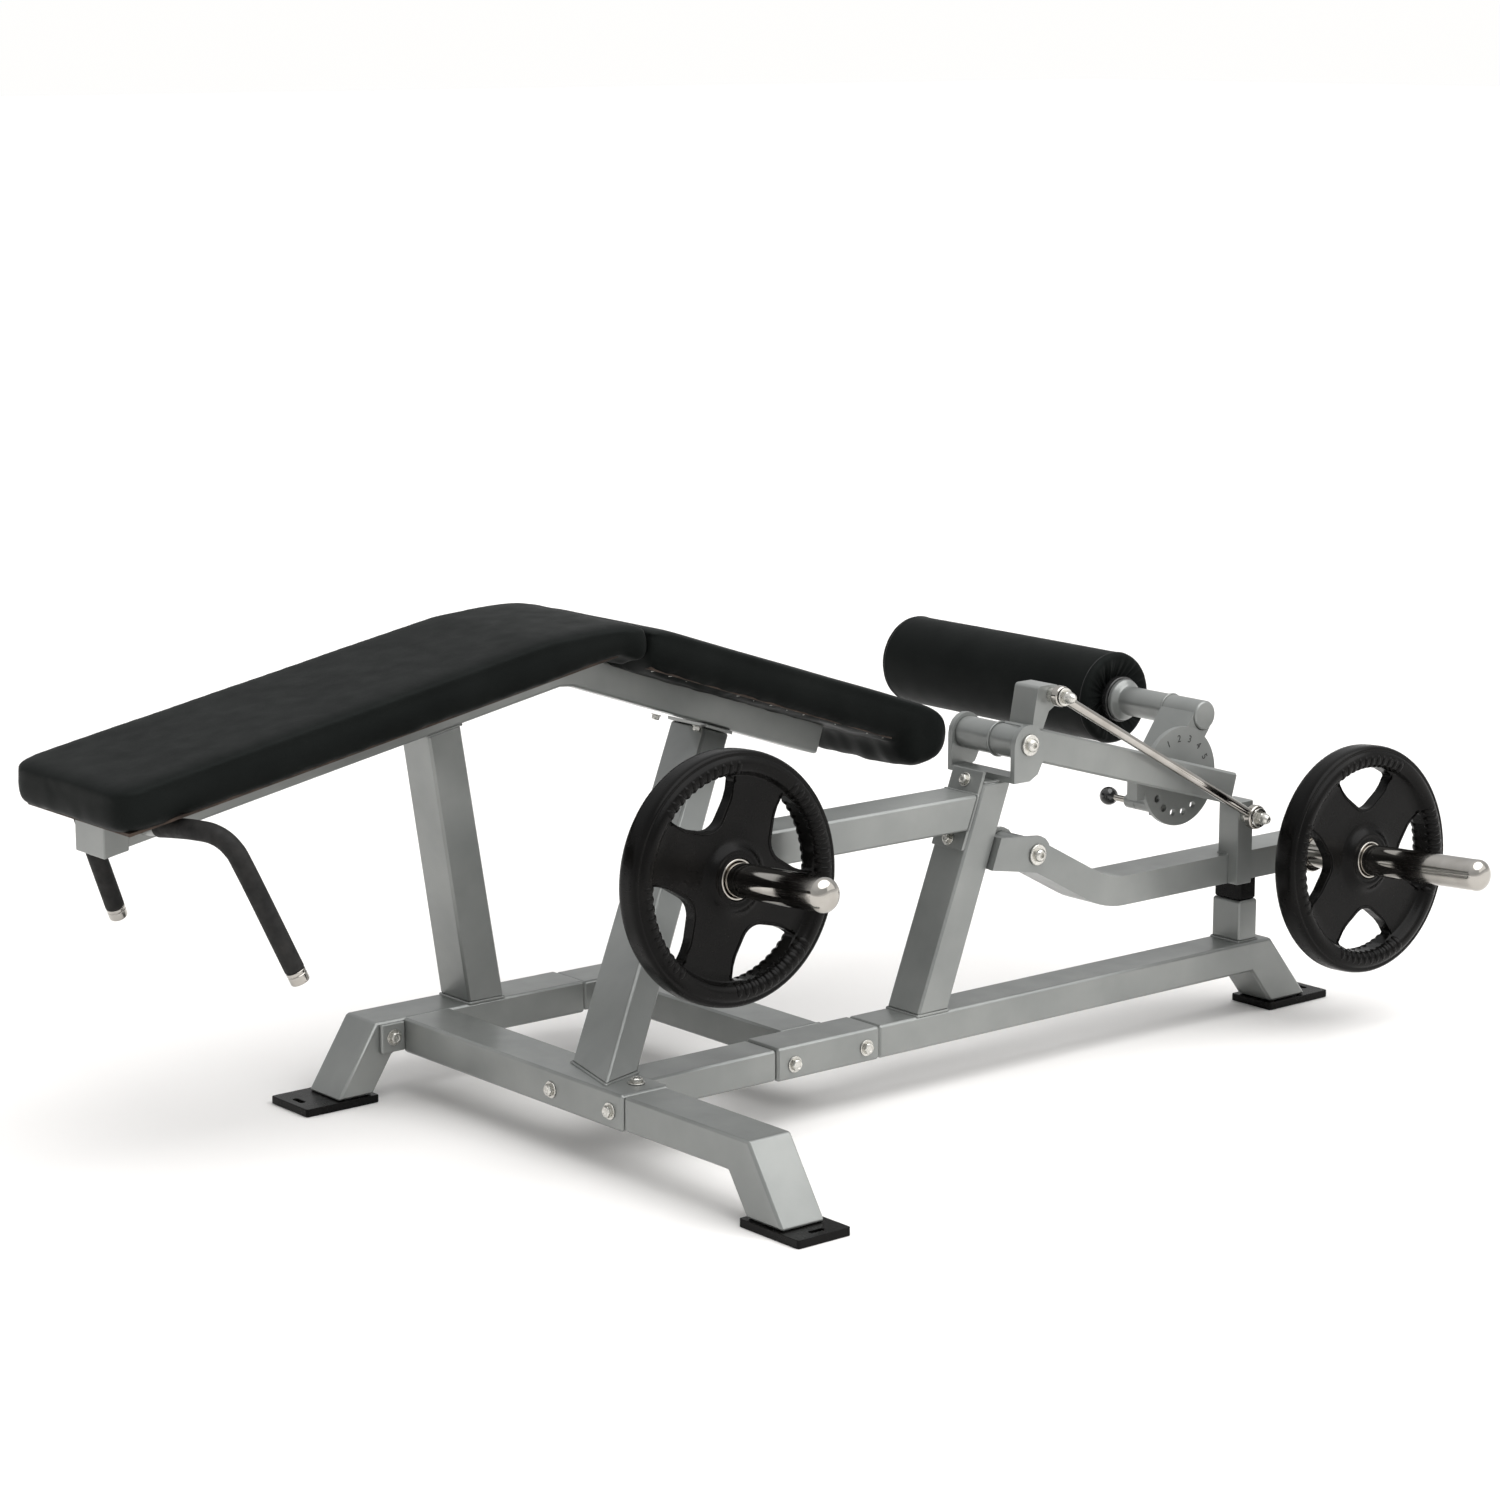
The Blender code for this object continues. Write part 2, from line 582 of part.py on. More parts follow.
def build_pin_bracket(pivot):
    x, z = PIN_AXIS
    bracket = box("pin_bracket", (1.0920, 1.1100), (LEVER_Y[1] + GAP, 0.0535), (0.3840, 0.4200), pivot)
    web = [(1.0930, 0.3860), (1.1380, 0.3860), (x - 0.0140, z - 0.0125), (x + 0.0130, z - 0.0125)]
    web += [(x + 0.0130, 0.3860), (x - 0.0060, 0.4060), (1.0930, 0.4060)]
    combine(bracket, prism("bracket_web", web, "Y", 0.0465, 0.0535, pivot), "UNION")
    block = box("bracket_block", (x - 0.0086, x + 0.0084), (0.0468, 0.0860), (z + 0.0119, 0.3990), pivot)
    combine(bracket, block, "UNION")
    combine(bracket, rod("bracket_bore", (x, 0.03, z), (x, 0.1, z), 0.0060), "DIFFERENCE")
    tube = [(0.0539, 0.0060), (0.0539, 0.0115), (0.112, 0.0115), (0.115, 0.0095), (0.115, 0.0060)]
    y_pin("pin_barrel", PIN_AXIS, tube, 18, pivot)


def build_pull_pin():
    pivot = (PIN_AXIS[0], 0.158, PIN_AXIS[1])
    shaft = [(0.0431, 0), (0.0431, 0.0052), (0.1435, 0.0052), (0.1435, 0)]
    y_pin("pull_pin", PIN_AXIS, shaft, 16, pivot)
    knob = [(0.1439, 0)]
    for k in range(7):
        angle = math.radians(-70 + 160 * k / 7)
        knob.append((0.158 + 0.0150 * math.sin(angle), 0.0150 * math.cos(angle)))
    knob.append((0.1730, 0))
    y_pin("pull_knob", PIN_AXIS, knob, 18, pivot)


def build_selector():
    pivot = pivot_of(SELECTOR)
    plate = [(DISC_Y[0], 0.0085), (DISC_Y[0], DISC_RADIUS), (DISC_Y[1], DISC_RADIUS), (DISC_Y[1], 0.0085)]
    disc = y_pin("selector_disc", SELECTOR, plate, 40, pivot)
    offset = Vector(PIN_AXIS) - Vector(SELECTOR)
    start = math.degrees(math.atan2(offset.y, offset.x))
    for k in range(-1, 4):
        angle = math.radians(start + PIN_CIRCLE_STEP * k)
        x = SELECTOR[0] + offset.length * math.cos(angle)
        z = SELECTOR[1] + offset.length * math.sin(angle)
        combine(disc, rod("pin_hole_%d" % (k + 1), (x, 0.02, z), (x, 0.06, z), 0.0060, 12), "DIFFERENCE")
    lean = math.degrees(math.atan2(ROLLER_AXIS[1] - SELECTOR[1], ROLLER_AXIS[0] - SELECTOR[0]))
    half = SLEEVE_RADIUS - 0.0008
    across = (math.sin(math.radians(lean)) * half, -math.cos(math.radians(lean)) * half)
    outline = arc(SELECTOR, half, lean + 90, lean + 270, 8)
    outline += [(ROLLER_AXIS[0] + side * across[0], ROLLER_AXIS[1] + side * across[1]) for side in (1, -1)]
    swing = prism("swing_arm", outline, "Y", *SWING_Y, pivot)
    x, z = SELECTOR
    combine(swing, rod("swing_bore", (x, 0.0, z), (x, 0.2, z), 0.0085), "DIFFERENCE")
    x, z = ROLLER_AXIS
    combine(swing, rod("sleeve_space", (x, 0.0, z), (x, 0.2, z), SLEEVE_RADIUS + 0.0004, 48), "DIFFERENCE")
    sleeve_end = ROLLER_Y[0] - 0.012
    shaft = [(0.0440, 0), (0.0440, SLEEVE_RADIUS - 0.003), (0.0470, SLEEVE_RADIUS),
        (sleeve_end - 0.012, SLEEVE_RADIUS)]
    shaft += [(sleeve_end - 0.010, 0.0300), (sleeve_end - 0.006, 0.0340), (sleeve_end, 0.0340),
        (sleeve_end, SHAFT_RADIUS)]
    shaft += [(0.7480, SHAFT_RADIUS), (0.7480, 0.0240), (0.7530, 0.0240), (0.7545, 0.0225), (0.7545, 0)]
    y_pin("roller_shaft", ROLLER_AXIS, shaft, 24, pivot)
    bore = SHAFT_RADIUS + 0.0004
    ring = (sleeve_end + GAP, ROLLER_Y[0] - GAP)
    y_pin("roller_collar", ROLLER_AXIS,
        [(ring[0], bore), (ring[0], 0.038), (ring[1], 0.038), (ring[1], bore)], 24, pivot)
    edge = 0.012
    low, high = ROLLER_Y
    pad = [(low, bore), (low, ROLLER_RADIUS - edge), (low + edge * 0.3, ROLLER_RADIUS - edge * 0.3),
        (low + edge, ROLLER_RADIUS)]
    pad += [(high - edge, ROLLER_RADIUS), (high - edge * 0.3, ROLLER_RADIUS - edge * 0.3),
        (high, ROLLER_RADIUS - edge), (high, bore)]
    y_pin("roller", ROLLER_AXIS, pad, 32, (ROLLER_AXIS[0], 0.4950, ROLLER_AXIS[1]))


def build_weight_arm():
    pivot = pivot_of(ARM_PIVOT)
    half = ARM_TUBE / 2
    slope = math.atan2(ARM_BEND[1] - ARM_PIVOT[1], ARM_BEND[0] - ARM_PIVOT[0])
    lean = math.degrees(slope)
    shift = half * math.tan(slope / 2)
    low_corner = (ARM_BEND[0] + shift, ARM_BEND[1] - half)
    high_corner = (ARM_BEND[0] - shift, ARM_BEND[1] + half)
    end = [(ARM_END, ARM_BEND[1] - half), (ARM_END, ARM_BEND[1] + half)]
    root = arc(ARM_PIVOT, half, lean + 90, lean + 270, 8)
    outline = root + [low_corner] + end + [high_corner]
    radii = [0] * len(root) + [0.170, 0, 0, 0.125]
    profile = rounded(outline, radii, 6)
    arm = prism("weight_arm", profile, "Y", *ARM_Y, pivot)
    combine(arm, rod("arm_bore", (pivot[0], -0.1, pivot[2]), (pivot[0], 0.2, pivot[2]), 0.0085),
        "DIFFERENCE")
    top = ARM_BEND[1] + half + GAP
    post = [(-0.020, ARM_BEND[1] - half), (-GAP, ARM_BEND[1] - half), (-GAP, top), (0.022, top),
        (0.022, 0.366), (-0.020, 0.366)]
    prism("link_post", post, "X", 1.272, 1.306, pivot)
    stud = [(-0.075, 0), (-0.072, 0.0055), (-0.066, 0.0095), (-0.058, 0.0105), (-0.052, 0.0105),
        (-0.052, 0.0155)]
    stud += [(-0.0495, 0.0155), (-0.0495, 0.0040), (-0.0310, 0.0040), (-0.0310, 0.0120), (-0.0204, 0.0120),
        (-0.0204, 0)]
    y_pin("rod_bottom_stud", ROD_BOTTOM, stud, 18, pivot)
    build_horn("arm", ARM_HORN, ARM_HORN_TILT, ARM_HORN_LENGTH, ARM_PLATE_AT, ARM_PLATE_TURN, 0.021, pivot)


def build_rod():
    pivot = pivot_of(ROD_TOP)
    top = Vector((ROD_TOP[0], ROD_MID_Y, ROD_TOP[1]))
    bottom = Vector((ROD_BOTTOM[0], ROD_MID_Y, ROD_BOTTOM[1]))
    along = (bottom - top).normalized()
    bar = rod("link_rod", top + along * 0.0100, bottom - along * 0.0160, 0.0074, 16, pivot)
    for name, axis, outer, inner in (("top_eye", ROD_TOP, 0.0160, 0.0064),
        ("bottom_eye", ROD_BOTTOM, 0.0195, 0.0135)):
        disc = [(ROD_Y[0], 0), (ROD_Y[0], outer - 0.002), (ROD_Y[0] + 0.002, outer)]
        disc += [(ROD_Y[1] - 0.002, outer), (ROD_Y[1], outer - 0.002), (ROD_Y[1], 0)]
        combine(bar, y_pin(name, axis, disc, 24, pivot), "UNION")
        hole = rod(name + "_hole", (axis[0], -0.1, axis[1]), (axis[0], 0.0, axis[1]), inner, 24)
        combine(bar, hole, "DIFFERENCE")


def build_horn(label, base, tilt, length, plate_at, plate_turn, collar, pivot):
    """A chrome peg with a collar at its root, and the plate that hangs on it."""
    base = Vector(base)
    lean = math.radians(tilt)
    along = Vector((0, -math.cos(lean), math.sin(lean)))
    radius = HORN_RADIUS
    peg = [(0, 0), (0, radius), (length - 0.014, radius), (length - 0.006, radius * 0.86)]
    peg += [(length - 0.001, radius * 0.55), (length, 0)]
    revolve(label + "_horn", peg, base, along, 32, pivot)
    bore = radius + 0.0005
    ring = [(collar, bore), (collar, 0.0330), (collar + 0.022, 0.0330), (collar + 0.022, bore)]
    if label == "store":
        ring = [(0.001, bore), (0.001, 0.0380), (0.013, 0.0380), (0.013, bore)]
    revolve(label + "_collar", ring, base, along, 32, pivot)
    build_plate(label, base + along * plate_at, along, plate_turn)


def plate_window(middle):
    """One hand hole: wide under the rim and narrow near the hub, in the plate's own plane."""
    corners = [(0.085, -9.0), (0.140, -27.0), (0.1455, -13.0), (0.1470, 0.0), (0.1455, 13.0), (0.140, 27.0),
        (0.085, 9.0)]
    flat = []
    for radius, angle in corners:
        turn = math.radians(middle + angle)
        flat.append((radius * math.cos(turn), radius * math.sin(turn)))
    return rounded(flat, [0.010, 0.012, 0, 0, 0, 0.012, 0.010], 3)


def build_plate(label, centre, along, turn):
    inner = 0.0300
    bore = 0.0264
    profile = [(-0.020, inner), (-0.020, 0.0430), (-0.009, 0.0520), (-0.009, 0.1490), (-0.0225, 0.1530),
        (-0.0250, 0.1590)]
    profile += [(-0.0250, 0.1720), (-0.0165, PLATE_RADIUS), (0.0165, PLATE_RADIUS), (0.0250, 0.1720)]
    profile += [(0.0250, 0.1590), (0.0225, 0.1530), (0.009, 0.1490)]
    profile += [(0.009, 0.0520), (0.020, 0.0430), (0.020, inner)]
    plate = revolve(label + "_plate", profile, centre, along, 48, centre)
    _, side, up = frame_of(along)
    for k in range(4):
        points = []
        outline = plate_window(turn + 90 * k)
        for depth in (-0.05, 0.05):
            points += [centre - side * a + up * b + along * depth for a, b in outline]
        cutter = loft("%s_window_%d" % (label, k), points[: len(outline)], points[len(outline):])
        combine(plate, cutter, "DIFFERENCE")
    sleeve = [(-0.0205, bore), (-0.0205, inner - GAP), (0.0205, inner - GAP), (0.0205, bore)]
    revolve(label + "_plate_bush", sleeve, centre, along, 32, centre)


for obj in list(bpy.data.objects):
    bpy.data.objects.remove(obj, do_unlink=True)
HELPERS = bpy.data.collections.new("helpers")
bpy.context.scene.collection.children.link(HELPERS)
HELPERS.hide_render = True

build_base()
build_posts()
build_upper_rail()
build_bench()
build_handles()
build_clevises()
build_lever()
build_pull_pin()
build_selector()
build_rod()
build_weight_arm()
build_horn("store", STORE_HORN, STORE_HORN_TILT, STORE_HORN_LENGTH, STORE_PLATE_AT, STORE_PLATE_TURN, 0.0,
    (0, 0, 0))
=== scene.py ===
"""Looks for the plate-loaded lying leg curl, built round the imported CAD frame.

Points are written in the part's working frame, in metres: X along the machine from the head end,
Y from the loading side towards the bench, Z up. at() moves a point into the frame's own axes.
"""

import math
import random

import bmesh
import bpy
import numpy as np
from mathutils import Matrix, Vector, noise
from mathutils.bvhtree import BVHTree


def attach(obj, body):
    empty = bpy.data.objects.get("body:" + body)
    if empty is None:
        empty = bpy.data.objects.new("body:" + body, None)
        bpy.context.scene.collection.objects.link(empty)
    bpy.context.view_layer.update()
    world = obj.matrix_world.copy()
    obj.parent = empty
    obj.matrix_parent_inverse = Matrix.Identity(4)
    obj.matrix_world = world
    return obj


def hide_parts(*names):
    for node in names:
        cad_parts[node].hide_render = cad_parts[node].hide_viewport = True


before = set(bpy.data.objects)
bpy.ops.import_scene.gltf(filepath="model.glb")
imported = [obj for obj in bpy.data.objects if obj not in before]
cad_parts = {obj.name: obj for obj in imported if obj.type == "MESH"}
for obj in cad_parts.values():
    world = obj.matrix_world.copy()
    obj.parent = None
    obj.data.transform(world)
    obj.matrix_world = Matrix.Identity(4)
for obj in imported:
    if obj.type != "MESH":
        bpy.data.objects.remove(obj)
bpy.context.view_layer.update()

ROW_ORIGIN = Vector((0.52300, 0.16075, 0.0))

# Camera, in the working frame.
CAMERA_AT = (-3.0625, -4.0405, 1.6127)
CAMERA_TURN = (78.795, 0.0, -39.534)
CAMERA_LENS = 89.64

# Sizes shared with the CAD part.
CHEST_LOW, CHEST_RISE = (-0.520, 0.454), 0.187
THIGH_LOW, THIGH_FALL = (0.482, 0.5375), -0.3415
BENCH_TUBE = 0.052
POST_FOOT, POST_LEAN = (0.602, 0.122), 0.385
BENCH_Y = (0.4525, 0.5285)
PAD_Y = (0.325, 0.645)
PAD_HEAD, PAD_SEAM = -0.566, 0.350
LEVER_PIVOT = (0.793, 0.522)
ARM_PIVOT = (0.835, 0.342)
ROD_TOP = (0.850, 0.5915)
ROD_BOTTOM = (1.289, 0.3435)
SELECTOR = (1.192, 0.4110)
ROLLER_AXIS = (1.2576, 0.5002)
PIN_AXIS = (1.1566, 0.3636)
ROLLER_Y = (0.243, 0.747)
ROLLER_RADIUS = 0.0755
HORN_RADIUS = 0.025
HORN_TILT = 3.6
ARM_HORN, ARM_HORN_LENGTH, ARM_PLATE_AT, ARM_PLATE_TURN = (1.428, -0.003, 0.2645), 0.397, 0.141, -2.0
STORE_HORN, STORE_HORN_LENGTH, STORE_PLATE_AT, STORE_PLATE_TURN = (0.185, -0.003, 0.4072), 0.278, 0.056, 22.0
PLATE_RADIUS = 0.184
HANDLE = (
    (-0.455, 0.4496, 0.488),
    (-0.4524, 0.391, 0.4963),
    (-0.4516, 0.330, 0.5036),
    (-0.4377, 0.296, 0.5005),
    (-0.4238, 0.275, 0.4838),
    (-0.4093, 0.262, 0.4491),
    (-0.3418, 0.236, 0.2864),
)
BENCH_MID = 0.485
GRIP_RADIUS = 0.0145

# Studio.
WORLD_RAMP = (
    (0.035, (1.0, 0.995, 0.985)),
    (0.14, (0.60, 0.60, 0.595)),
    (0.45, (0.62, 0.625, 0.63)),
    (1.0, (1.0, 1.0, 1.0)),
)
SUN_POWER = 2.5

# Pads.
WELD_DISTANCE = 0.00002
VOXEL = 0.006
PRESSURE = 4.0
CLOTH_FRAMES = 20
PAD_SHRINK = 0.0010
PAD_ROUNDING = 34
PAD_CAP = 0.0062
BOARD = 0.005


def at(x, y, z):
    return Vector((x, y, z)) - ROW_ORIGIN


def into_scene(obj):
    bpy.context.scene.collection.objects.link(obj)
    return obj


# ---------------------------------------------------------------- materials


class Recipe:
    """A small helper that wires one procedural material."""

    def __init__(self, name):
        self.material = bpy.data.materials.new(name)
        self.material.use_nodes = True
        self.tree = self.material.node_tree
        self.shader = self.tree.nodes["Principled BSDF"]
        self.place = self.tree.nodes.new("ShaderNodeTexCoord").outputs["Object"]
        self.height = None

    def node(self, kind, **values):
        made = self.tree.nodes.new(kind)
        for name, value in values.items():
            if name in made.inputs:
                made.inputs[name].default_value = value
            else:
                setattr(made, name, value)
        return made

    def link(self, start, end):
        self.tree.links.new(start, end)

    def stretched(self, stretch):
        if stretch == (1, 1, 1):
            return self.place
        mapping = self.node("ShaderNodeMapping")
        mapping.inputs["Scale"].default_value = stretch
        self.link(self.place, mapping.inputs["Vector"])
        return mapping.outputs["Vector"]

    def noise(self, scale, detail=4.0, stretch=(1, 1, 1)):
        made = self.node("ShaderNodeTexNoise", Scale=scale, Detail=detail)
        self.link(self.stretched(stretch), made.inputs["Vector"])
        return made.outputs["Fac"]

    def cells(self, scale, feature="F1"):
        made = self.node("ShaderNodeTexVoronoi", Scale=scale, feature=feature)
        self.link(self.place, made.inputs["Vector"])
        return made.outputs["Distance"]

    def colour(self, fac, stops):
        ramp = self.node("ShaderNodeValToRGB")
        elements = ramp.color_ramp.elements
        while len(elements) < len(stops):
            elements.new(0.5)
        for element, (position, shade) in zip(elements, stops):
            element.position = position
            element.color = (*shade, 1.0)
        self.link(fac, ramp.inputs["Fac"])
        self.link(ramp.outputs["Color"], self.shader.inputs["Base Color"])

    def roughness(self, fac, low, high):
        span = self.node("ShaderNodeMapRange")
        span.inputs["From Min"].default_value = 0.3
        span.inputs["From Max"].default_value = 0.7
        span.inputs["To Min"].default_value = low
        span.inputs["To Max"].default_value = high
        self.link(fac, span.inputs["Value"])
        self.link(span.outputs["Result"], self.shader.inputs["Roughness"])

    def bump(self, fac, strength, distance):
        made = self.node("ShaderNodeBump", Strength=strength, Distance=distance)
        self.link(fac, made.inputs["Height"])
        if self.height is not None:
            self.link(self.height, made.inputs["Normal"])
        self.height = made.outputs["Normal"]
        self.link(self.height, self.shader.inputs["Normal"])

    def done(self, **sockets):
        for name, value in sockets.items():
            self.shader.inputs[name.replace("_", " ")].default_value = value
        return self.material


def make_paint():
    r = Recipe("silver_paint")
    r.colour(r.noise(7.0, 5.0), [(0.30, (0.204, 0.213, 0.207)), (0.52, (0.236, 0.245, 0.237)),
        (0.72, (0.272, 0.280, 0.270))])
    r.roughness(r.noise(16.0, 6.0), 0.30, 0.42)
    r.bump(r.noise(900.0, 2.0), 0.10, 0.0004)
    r.bump(r.noise(26.0, 2.0), 0.015, 0.0012)
    return r.done(Metallic=0.50, Coat_Weight=0.22, Coat_Roughness=0.18)


def make_vinyl():
    r = Recipe("black_vinyl")
    r.colour(r.noise(11.0, 6.0), [(0.30, (0.0056, 0.0064, 0.0061)), (0.55, (0.0072, 0.0082, 0.0078)),
        (0.78, (0.0092, 0.0103, 0.0098))])
    r.roughness(r.noise(30.0, 5.0), 0.44, 0.52)
    r.bump(r.cells(520.0), 0.22, 0.0006)
    r.bump(r.noise(220.0, 3.0), 0.15, 0.0005)
    r.bump(r.noise(9.0, 2.0), 0.04, 0.0030)
    return r.done(Specular_IOR_Level=0.045, Specular_Tint=(0.90, 1.0, 0.97, 1.0))


def make_foam():
    r = Recipe("black_foam")
    r.colour(r.noise(40.0, 6.0), [(0.30, (0.008, 0.008, 0.008)), (0.70, (0.020, 0.019, 0.018))])
    r.roughness(r.noise(90.0, 4.0), 0.62, 0.82)
    r.bump(r.cells(900.0), 0.35, 0.0007)
    r.bump(r.noise(70.0, 4.0), 0.20, 0.0012)
    return r.done(Specular_IOR_Level=0.25)


def make_rubber():
    r = Recipe("black_rubber")
    r.colour(r.noise(18.0, 7.0), [(0.28, (0.0016, 0.0015, 0.0014)), (0.55, (0.0026, 0.0024, 0.0022)),
        (0.80, (0.0055, 0.0050, 0.0047))])
    r.roughness(r.noise(34.0, 6.0), 0.20, 0.32)
    r.bump(r.noise(420.0, 4.0), 0.18, 0.0006)
    r.bump(r.noise(45.0, 3.0), 0.06, 0.0012)
    return r.done(Specular_IOR_Level=0.11)


def make_chrome():
    r = Recipe("chrome")
    # Base colour kept dark and warm: partly the chrome's own tint, partly painted reflection of a dim, brownish
    # room.
    r.colour(r.noise(25.0, 4.0), [(0.3, (0.38, 0.36, 0.33)), (0.7, (0.48, 0.46, 0.43))])
    r.roughness(r.noise(70.0, 5.0, (1, 0.2, 1)), 0.06, 0.14)
    r.bump(r.noise(240.0, 2.0, (1, 0.1, 1)), 0.03, 0.0003)
    return r.done(Metallic=1.0)


def make_zinc():
    r = Recipe("zinc")
    r.colour(r.noise(120.0, 5.0), [(0.3, (0.50, 0.49, 0.46)), (0.7, (0.68, 0.67, 0.63))])
    r.roughness(r.noise(260.0, 4.0), 0.20, 0.38)
    r.bump(r.noise(900.0, 2.0), 0.12, 0.0003)
    return r.done(Metallic=1.0)


def make_plastic():
    r = Recipe("black_plastic")
    r.colour(r.noise(60.0, 3.0), [(0.3, (0.010, 0.010, 0.010)), (0.7, (0.018, 0.018, 0.018))])
    r.roughness(r.noise(80.0, 4.0), 0.10, 0.22)
    r.bump(r.noise(500.0, 2.0), 0.05, 0.0003)
    return r.done(Coat_Weight=0.4)


def make_board():
    r = Recipe("board_cover")
    r.colour(r.noise(35.0, 6.0, (1, 6, 1)), [(0.3, (0.022, 0.014, 0.010)), (0.7, (0.060, 0.038, 0.026))])
    r.roughness(r.noise(60.0, 4.0), 0.60, 0.85)
    r.bump(r.noise(300.0, 4.0, (1, 8, 1)), 0.30, 0.0010)
    return r.done()


def make_ink():
    r = Recipe("dial_ink")
    r.colour(r.noise(400.0, 3.0), [(0.3, (0.012, 0.012, 0.012)), (0.7, (0.035, 0.034, 0.033))])
    r.roughness(r.noise(200.0, 3.0), 0.45, 0.65)
    return r.done()


def make_seam():
    r = Recipe("seam_thread")
    r.colour(r.noise(700.0, 3.0), [(0.3, (0.004, 0.004, 0.004)), (0.7, (0.012, 0.012, 0.012))])
    r.roughness(r.noise(500.0, 3.0), 0.55, 0.80)
    r.bump(r.noise(1500.0, 2.0), 0.30, 0.0004)
    return r.done()


PAINT = make_paint()
VINYL = make_vinyl()
FOAM = make_foam()
RUBBER = make_rubber()
CHROME = make_chrome()
ZINC = make_zinc()
PLASTIC = make_plastic()
BOARD_COVER = make_board()
INK = make_ink()
SEAM = make_seam()


# ---------------------------------------------------------------- shapes


def frame_of(direction):
    along = Vector(direction).normalized()
    helper = Vector((0, 0, 1)) if abs(along.z) < 0.9 else Vector((1, 0, 0))
    side = along.cross(helper).normalized()
    return along, side, side.cross(along)


def hexagon(angle):
    """How far a unit hexagon's edge lies from its centre at an angle, flats at distance 1."""
    return 1.0 / math.cos((angle % (math.pi / 3)) - math.pi / 6)


class Shape:
    """Collects points and faces of one piece."""

    def __init__(self):
        self.points = []
        self.faces = []

    def add(self, points, faces):
        first = len(self.points)
        self.points += [Vector(p) for p in points]
        self.faces += [tuple(first + i for i in face) for face in faces]
        return self

    def rings(self, rows, closed=False):
        """Skins a list of equal rings; a ring of one point closes the end."""
        points = []
        index = []
        for row in rows:
            index.append(list(range(len(points), len(points) + len(row))))
            points += row
        pairs = list(zip(index, index[1:]))
        if closed:
            pairs.append((index[-1], index[0]))
        faces = []
        for low, high in pairs:
            for k in range(max(len(low), len(high))):
                n = k + 1
                quad = (low[k % len(low)], low[n % len(low)], high[n % len(high)], high[k % len(high)])
                faces.append(tuple(dict.fromkeys(quad)))
        return self.add(points, faces)

    def lathe(self, profile, base, direction, sides=64):
        """Turns (distance, radius) or (distance, radius, "hex") entries about an axis."""
        along, side, up = frame_of(direction)
        base = Vector(base)
        rows = []
        for distance, radius, *form in profile:
            if radius == 0:
                rows.append([base + along * distance])
                continue
            row = []
            for k in range(sides):
                angle = 2 * math.pi * k / sides
                reach = radius * (hexagon(angle) if form else 1.0)
                row.append(base + along * distance + (side * math.cos(angle) + up * math.sin(angle)) * reach)
            rows.append(row)
        return self.rings(rows, closed=profile[0][1] != 0)

    def tube(self, path, radius, sides=24, closed=False, domed=0.0):
        """A round bar along points, with a radius or a function of the share of its length."""
        path = [Vector(p) for p in path]
        count = len(path)
        rows = []
        up = None
        for i, here in enumerate(path):
            before = path[i - 1] if i or closed else here
            after = path[(i + 1) % count] if i + 1 < count or closed else here
            along = (after - before).normalized()
            if up is None:
                up = frame_of(along)[2]
            up = (up - along * up.dot(along)).normalized()
            side = along.cross(up)
            wide = radius(i / (count - 1)) if callable(radius) else radius
            rows.append([
                here + (side * math.cos(2 * math.pi * k / sides) + up * math.sin(2 * math.pi * k / sides)) * wide
                for k in range(sides)
            ])
        if not closed:
            first = (path[0] - path[1]).normalized() * domed
            last = (path[-1] - path[-2]).normalized() * domed
            rows = [[path[0] + first]] + rows + [[path[-1] + last]]
        return self.rings(rows, closed)

    def block(self, low, high):
        (a, b, c), (d, e, f) = low, high
        points = [(a, b, c), (d, b, c), (d, e, c), (a, e, c), (a, b, f), (d, b, f), (d, e, f), (a, e, f)]
        faces = [(0, 3, 2, 1), (4, 5, 6, 7), (0, 1, 5, 4), (1, 2, 6, 5), (2, 3, 7, 6), (3, 0, 4, 7)]
        return self.add(points, faces)

    def prism(self, outline, direction, low, high, centre, side, up):
        rows = []
        for depth in (low, high):
            rows.append([centre + side * a + up * b + direction * depth for a, b in outline])
        count = len(outline)
        points = rows[0] + rows[1]
        faces = [tuple(range(count)), tuple(range(2 * count - 1, count - 1, -1))]
        faces += [(i, (i + 1) % count, count + (i + 1) % count, count + i) for i in range(count)]
        return self.add(points, faces)

    def bead(self, path, radius=0.0022, closed=True, step=0.0022, seed=0):
        """A weld bead: a thin rippled rope along the path."""
        path = [Vector(p) for p in path]
        ends = path + path[:1] if closed else path
        fine = []
        for first, last in zip(ends, ends[1:]):
            count = max(2, round((last - first).length / step))
            fine += [first.lerp(last, i / count) for i in range(count)]
        if not closed:
            fine.append(ends[-1])
        rng = random.Random(seed)
        sizes = [radius * (0.82 + 0.30 * (i % 2) + 0.14 * rng.random()) for i in range(len(fine))]
        count = len(fine)
        return self.tube(fine, lambda t: sizes[min(count - 1, round(t * (count - 1)))], 8, closed)


def into_object(name, shape):
    mesh = bpy.data.meshes.new(name)
    mesh.from_pydata(shape.points, [], shape.faces)
    built = bmesh.new()
    built.from_mesh(mesh)
    bmesh.ops.recalc_face_normals(built, faces=built.faces)
    built.to_mesh(mesh)
    built.free()
    obj = bpy.data.objects.new(name, mesh)
    into_scene(obj)
    return obj


def bevel(obj, width, segments=2, angle=32):
    modifier = obj.modifiers.new("round", "BEVEL")
    modifier.width = width
    modifier.segments = segments
    modifier.limit_method = "ANGLE"
    modifier.angle_limit = math.radians(angle)
    modifier.use_clamp_overlap = True
    obj.modifiers.new("shade", "WEIGHTED_NORMAL").keep_sharp = False
    return obj


def smooth(obj):
    obj.data.polygons.foreach_set("use_smooth", [True] * len(obj.data.polygons))
    return obj


